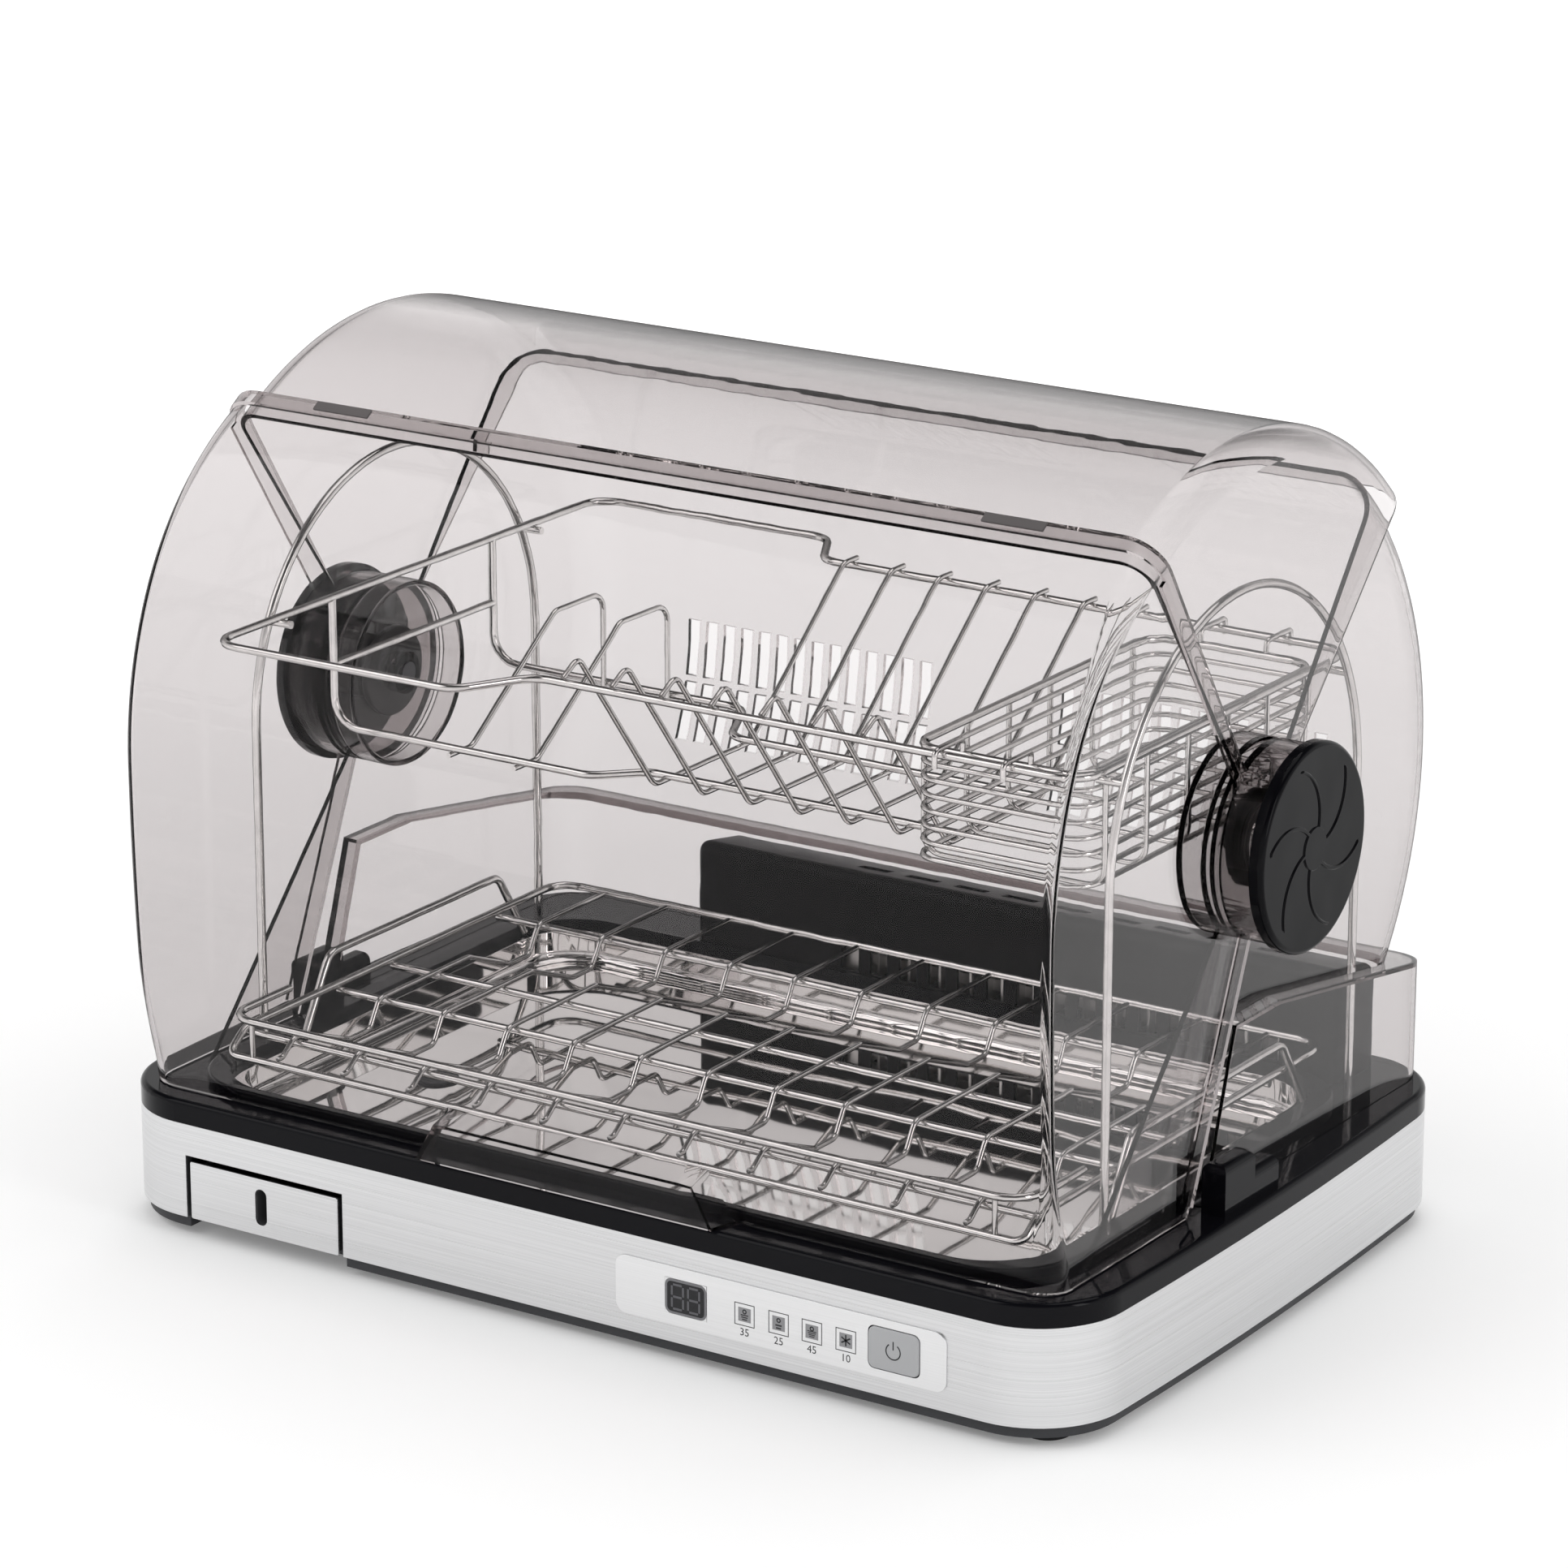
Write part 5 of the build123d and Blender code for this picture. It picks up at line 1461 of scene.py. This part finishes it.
@dataclass
class UpperRack:
    """The upper rack, its dividers and the cutlery basket."""

    hub: Hub
    frame: float = 3.6
    thin: float = 2.4
    side: float = 199.5
    height: float = 252.5
    wide_half: float = 140.5
    narrow_half: float = 108.0
    jog: Pair = (-76.0, -58.0)
    post_half: float = 58.0
    rail_height: float = 196.0
    rail_front: float = 40.0
    rail_rear: float = 20.0
    rail_jog: Pair = (-66.0, -48.0)
    rail_end: float = 104.0
    mid_bar: float = 223.0
    divider_first: float = -42.0
    divider_pitch: float = 24.0
    divider_count: int = 7
    divider_hump: float = 6.0
    hook: float = 8.0
    hoop_xs: Sequence[float] = (-138.0, -104.0)
    hoop_height: float = 238.0
    hoop_ys: Sequence[float] = (-60.0, -43.0, 19.0, 55.0, 54.9)
    basket_x: Pair = (114.0, 192.0)
    basket_half: float = 93.0
    basket_top: float = 249.0
    basket_depth: float = 46.0
    basket_loops: int = 7
    basket_corner: float = 12.0
    basket_crosses: int = 6
    basket_hook_drop: float = 7.0
    basket_hook_share: float = 0.3
    basket_hook_gap: float = 0.1
    weld: float = 0.6

    def rack_wires(self) -> list[Wire]:
        """Return the rim, the two rails with their posts and the middle bar.

        Returns:
            The wires.
        """
        y, z = self.hub.y, self.height
        plan = [(-self.side, self.wide_half), (self.jog[0], self.wide_half),
                (self.jog[1], self.narrow_half), (self.side, self.narrow_half)]
        rim = [(x, y - half, z) for x, half in plan] + [(x, y + half, z) for x, half in reversed(plan)]
        wires = [Wire(rim, self.frame, closed=True)]
        for turn, near in ((-1.0, self.rail_front), (1.0, self.rail_rear)):
            post, rail, low = y + turn * self.post_half, y + turn * near, self.rail_height
            path = [(-self.side, post, z), (-self.side, post, low), (self.rail_jog[0], post, low),
                    (self.rail_jog[1], rail, low), (self.rail_end, rail, low)]
            wires.append(Wire(path, self.frame))
        wires.append(Wire([(-self.side, y - self.post_half, self.mid_bar),
                           (-self.side, y + self.post_half, self.mid_bar)], self.frame))
        return wires

    def divider_wires(self) -> list[Wire]:
        """Return the plate dividers and the two cup hoops.

        Returns:
            The wires.
        """
        y, step = self.hub.y, (self.frame + self.thin) / 2
        over, under = self.height + step, self.rail_height - step
        hook_y, shoulder = self.narrow_half + self.hook / 3, self.narrow_half - self.hook
        wires = []
        for index in range(self.divider_count):
            x = self.divider_first + index * self.divider_pitch
            path = [(hook_y, over), (shoulder, over), (self.rail_rear + 2 * step, under),
                    (-self.rail_front - 2 * step, under), (-shoulder, over + self.divider_hump),
                    (-hook_y, over)]
            wires.append(Wire([(x, y + along, z) for along, z in path], self.thin, self.hook))
        heights = (under, under, self.hoop_height, self.hoop_height, under)
        for x in self.hoop_xs:
            hoop = [(x, y + along, z) for along, z in zip(self.hoop_ys, heights)]
            wires.append(Wire(hoop, self.thin, self.hook))
        return wires

    def basket_wires(self) -> list[Wire]:
        """Return the basket's loops, cross wires and hooks.

        Returns:
            The wires.
        """
        left, right = self.basket_x
        front, rear = self.hub.y - self.basket_half, self.hub.y + self.basket_half
        wires = []
        for index in range(self.basket_loops + 1):
            z = self.basket_top - self.basket_depth * index / self.basket_loops
            loop = [(left, front, z), (right, front, z), (right, rear, z), (left, rear, z)]
            wires.append(Wire(loop, self.frame if index == 0 else self.thin, self.basket_corner, True))
        low = self.basket_top - self.basket_depth - self.thin + self.weld
        out = self.thin - self.weld
        pitch = (rear - front - 2 * self.basket_corner) / (self.basket_crosses - 1)
        for index in range(self.basket_crosses):
            y = front + self.basket_corner + index * pitch
            near, far, rim = left - out, right + out, self.basket_top
            path = [(near, y, rim), (near, y, low), (far, y, low), (far, y, rim)]
            wires.append(Wire(path, self.thin, self.hook))
        run = (right - left) * self.basket_hook_share
        top = self.height + self.frame / 2 + self.thin / 2 + self.basket_hook_gap
        for turn, edge in ((-1.0, front), (1.0, rear)):
            end = self.hub.y + turn * (self.narrow_half + self.frame + self.thin)
            for x in (left + run, right - run):
                wires.append(Wire([(x, edge, self.basket_top), (x, edge, top), (x, end, top),
                                   (x, end, top - self.basket_hook_drop)], self.thin, self.thin))
        return wires

    def build(self, shop: Workshop, work: WireWork) -> None:
        """Build the rack, its dividers and the basket.

        Args:
            shop: Makes the pieces.
            work: Bends the wires.
        """
        work.build(shop, "upper_rack", self.rack_wires())
        work.build(shop, "rack_dividers", self.divider_wires())
        work.build(shop, "cutlery_basket", self.basket_wires())


@dataclass
class LowerRack:
    """The lower rack and its bars with two dips each."""

    frame: float = 3.6
    thin: float = 2.4
    side: float = 196.4
    rear: float = 110.0
    front: float = -133.0
    rail: float = 81.0
    front_height: float = 72.0
    bumper_height: float = 89.0
    bumper_end: float = -90.0
    bend_start: float = -121.0
    bend: float = 13.0
    cross_ys: Sequence[float] = (-119.0, -55.97, -17.09, 61.89)
    grip_offset: float = 3.0
    grip: Sequence[Pair] = ((-76.0, 63.7), (-58.0, 95.0), (66.0, 95.0), (86.0, 63.7))
    grip_bend: float = 8.0
    bars: int = 5
    bar_pitch: float = 34.0
    bar_bend: float = 5.0
    dip: float = 12.0
    dip_length: float = 46.0
    drop_length: float = 7.0
    bar_lap: float = 0.1
    weld: float = 0.6

    def rack_wires(self) -> list[Wire]:
        """Return the loop, the front bumper, the grips and the cross bars.

        Returns:
            The wires.
        """
        side, front, high = self.side, self.front, self.bumper_height
        half = [(self.rear, self.rail), (self.bend_start, self.rail), (front, self.front_height)]
        loop = [(-side, y, z) for y, z in half] + [(side, y, z) for y, z in reversed(half)]
        wires = [Wire(loop, self.frame, closed=True)]
        wires.append(Wire([(-side, self.bumper_end, high), (-side, front, high), (side, front, high),
                           (side, self.bumper_end, high)], self.frame))
        for turn in (-1.0, 1.0):
            x = turn * (side - self.bend)
            wires.append(Wire([(x, front, self.front_height), (x, front, high)], self.thin))
            grip_x = turn * (side + self.grip_offset)
            wires.append(Wire([(grip_x, y, z) for y, z in self.grip], self.frame, self.grip_bend))
        z = self.rail - self.frame + self.weld
        wires += [Wire([(-side, y, z), (side, y, z)], self.frame) for y in self.cross_ys]
        return wires

    def bar_wires(self) -> list[Wire]:
        """Return the bars that carry the plates.

        Returns:
            The wires.
        """
        step = (self.frame + self.thin) / 2
        high = self.rail - self.frame + self.weld + step
        first, near, _, back = self.cross_ys
        path = [(self.rear - step, high)]
        for y in (back, near):
            edge = y - 2 * step
            drop = edge - self.drop_length
            path += [(edge, high), (drop, high - self.dip), (drop - self.dip_length / 3, high - self.dip),
                     (drop - self.dip_length, high)]
        foot = self.front_height + step
        path += [(first - step, high), (self.front + step, foot), (self.front - self.bar_lap, foot)]
        return [Wire([(index * self.bar_pitch, y, z) for y, z in path], self.thin, self.bar_bend)
                for index in range(-self.bars, self.bars + 1)]

    def build(self, shop: Workshop, work: WireWork) -> None:
        """Build the rack and its bars.

        Args:
            shop: Makes the pieces.
            work: Bends the wires.
        """
        work.build(shop, "lower_rack", self.rack_wires())
        work.build(shop, "rack_bars", self.bar_wires())


@dataclass(frozen=True)
class SoftLight:
    """One area light aimed at the dryer."""

    name: str
    place: Point
    size: Pair
    power: float

    def build(self, target: Vector) -> None:
        """Add the light, aimed at a target.

        Args:
            target: Place that it is aimed at.
        """
        data = bpy.data.lights.new(self.name, "AREA")
        data.shape = "RECTANGLE"
        data.size, data.size_y = self.size
        data.energy = self.power
        lamp = bpy.data.objects.new(self.name, data)
        lamp.location = self.place
        lamp.rotation_euler = (target - Vector(self.place)).to_track_quat("-Z", "Y").to_euler()
        bpy.context.scene.collection.objects.link(lamp)


@dataclass
class Studio:
    """Camera, floor, world and lights."""

    camera_place: Point = (1.33564, -2.04117, 0.96116)
    camera_right: Point = (0.83623, 0.54838, 0.0)
    camera_up: Point = (-0.16518, 0.25189, 0.95355)
    camera_back: Point = (0.52291, -0.79739, 0.30122)
    lens: float = 140.33
    sensor: float = 36.0
    clip_end: float = 60.0
    floor_half: float = 6.0
    floor_colour: Colour = (0.90, 0.90, 0.90)
    floor_roughness: float = 0.9
    floor_gloss: float = 0.1
    floor_noise: float = 3.0
    floor_variation: float = 0.005
    floor_glow: Pair = (0.16, 0.52)
    glow_reach: Pair = (0.5, 1.6)
    sky_light: float = 0.66
    sky_high: float = 0.05
    sky_span: Pair = (0.30, 0.60)
    seen_rays: Sequence[str] = ("Is Camera Ray", "Is Glossy Ray", "Is Transmission Ray")
    target: Point = (0.0, 0.0, 0.15)
    lights: Sequence[SoftLight] = field(default_factory=lambda: (
        SoftLight("key", (-1.6, -1.9, 2.4), (2.4, 1.8), 24.0),
        SoftLight("overhead", (0.2, 0.7, 2.6), (2.4, 1.8), 18.0),
        SoftLight("right strip", (2.4, -0.4, 1.1), (0.6, 1.4), 8.0),
    ))

    def camera(self) -> None:
        """Add the camera at the photograph's viewpoint."""
        data = bpy.data.cameras.new("camera")
        data.lens = self.lens
        data.sensor_width = self.sensor
        data.clip_end = self.clip_end
        item = bpy.data.objects.new("camera", data)
        turn = Matrix((self.camera_right, self.camera_up, self.camera_back)).transposed()
        item.matrix_world = Matrix.Translation(self.camera_place) @ turn.to_4x4()
        bpy.context.scene.collection.objects.link(item)
        bpy.context.scene.camera = item

    def floor(self) -> None:
        """Add the pale floor."""
        bm = bmesh.new()
        bmesh.ops.create_grid(bm, x_segments=1, y_segments=1, size=self.floor_half)
        mesh = bpy.data.meshes.new("floor")
        bm.to_mesh(mesh)
        bm.free()
        shader = Shader("floor paper")
        shader.set({"Roughness": self.floor_roughness, "Specular IOR Level": self.floor_gloss,
                    "Emission Color": (1.0, 1.0, 1.0, 1.0)})
        paper = shader.tones(shader.noise(self.floor_noise), self.floor_colour, self.floor_variation)
        shader.feed(paper, "Base Color")
        nodes, links = shader.tree.nodes, shader.tree.links
        place = nodes.new("ShaderNodeTexCoord")
        away = nodes.new("ShaderNodeVectorMath")
        away.operation = "LENGTH"
        links.new(place.outputs["Object"], away.inputs[0])
        spread = nodes.new("ShaderNodeMapRange")
        spread.inputs["From Min"].default_value, spread.inputs["From Max"].default_value = self.glow_reach
        spread.inputs["To Min"].default_value, spread.inputs["To Max"].default_value = self.floor_glow
        links.new(away.outputs["Value"], spread.inputs["Value"])
        glow = nodes.new("ShaderNodeMath")
        glow.operation = "MULTIPLY"
        links.new(any_ray(shader.tree, self.seen_rays), glow.inputs[0])
        links.new(spread.outputs["Result"], glow.inputs[1])
        shader.feed(glow.outputs["Value"], "Emission Strength")
        mesh.materials.append(shader.material)
        item = bpy.data.objects.new("floor", mesh)
        bpy.context.scene.collection.objects.link(item)

    def world(self) -> None:
        """Light the scene evenly and show a white horizon that darkens upwards."""
        world = bpy.data.worlds.new("studio")
        bpy.context.scene.world = world
        world.use_nodes = True
        nodes, links = world.node_tree.nodes, world.node_tree.links
        plain = nodes["Background"]
        plain.inputs["Color"].default_value = (1.0, 1.0, 1.0, 1.0)
        plain.inputs["Strength"].default_value = self.sky_light
        seen = nodes.new("ShaderNodeBackground")
        place = nodes.new("ShaderNodeTexCoord")
        split = nodes.new("ShaderNodeSeparateXYZ")
        ramp = nodes.new("ShaderNodeValToRGB")
        first, last = ramp.color_ramp.elements
        first.position, last.position = self.sky_span
        first.color = (1.0, 1.0, 1.0, 1.0)
        last.color = (self.sky_high, self.sky_high, self.sky_high, 1.0)
        links.new(place.outputs["Generated"], split.inputs["Vector"])
        links.new(split.outputs["Z"], ramp.inputs["Fac"])
        links.new(ramp.outputs["Color"], seen.inputs["Color"])
        mix = nodes.new("ShaderNodeMixShader")
        links.new(any_ray(world.node_tree, self.seen_rays), mix.inputs["Fac"])
        links.new(plain.outputs["Background"], mix.inputs[1])
        links.new(seen.outputs["Background"], mix.inputs[2])
        links.new(mix.outputs["Shader"], nodes["World Output"].inputs["Surface"])

    def build(self) -> None:
        """Set up the whole studio."""
        bpy.context.scene.view_settings.view_transform = "Standard"
        self.camera()
        self.floor()
        self.world()
        for light in self.lights:
            light.build(Vector(self.target))


def main() -> None:
    """Dress the frame and set up the studio."""
    logging.basicConfig(level=logging.INFO, format="%(name)s: %(message)s")
    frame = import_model()
    shop = Workshop(frame["nodes"])
    work = WireWork()
    hub = Hub()
    parts = (BaseShell(), WaterDrawer(), ControlPanel(), FixedShell(), FrontCover(hub), TopCover(hub),
             Blower())
    for part in parts:
        part.build(shop)
    for rack in (Arches(hub), UpperRack(hub), LowerRack()):
        rack.build(shop, work)
    Studio().build()


if __name__ == "__main__":
    main()
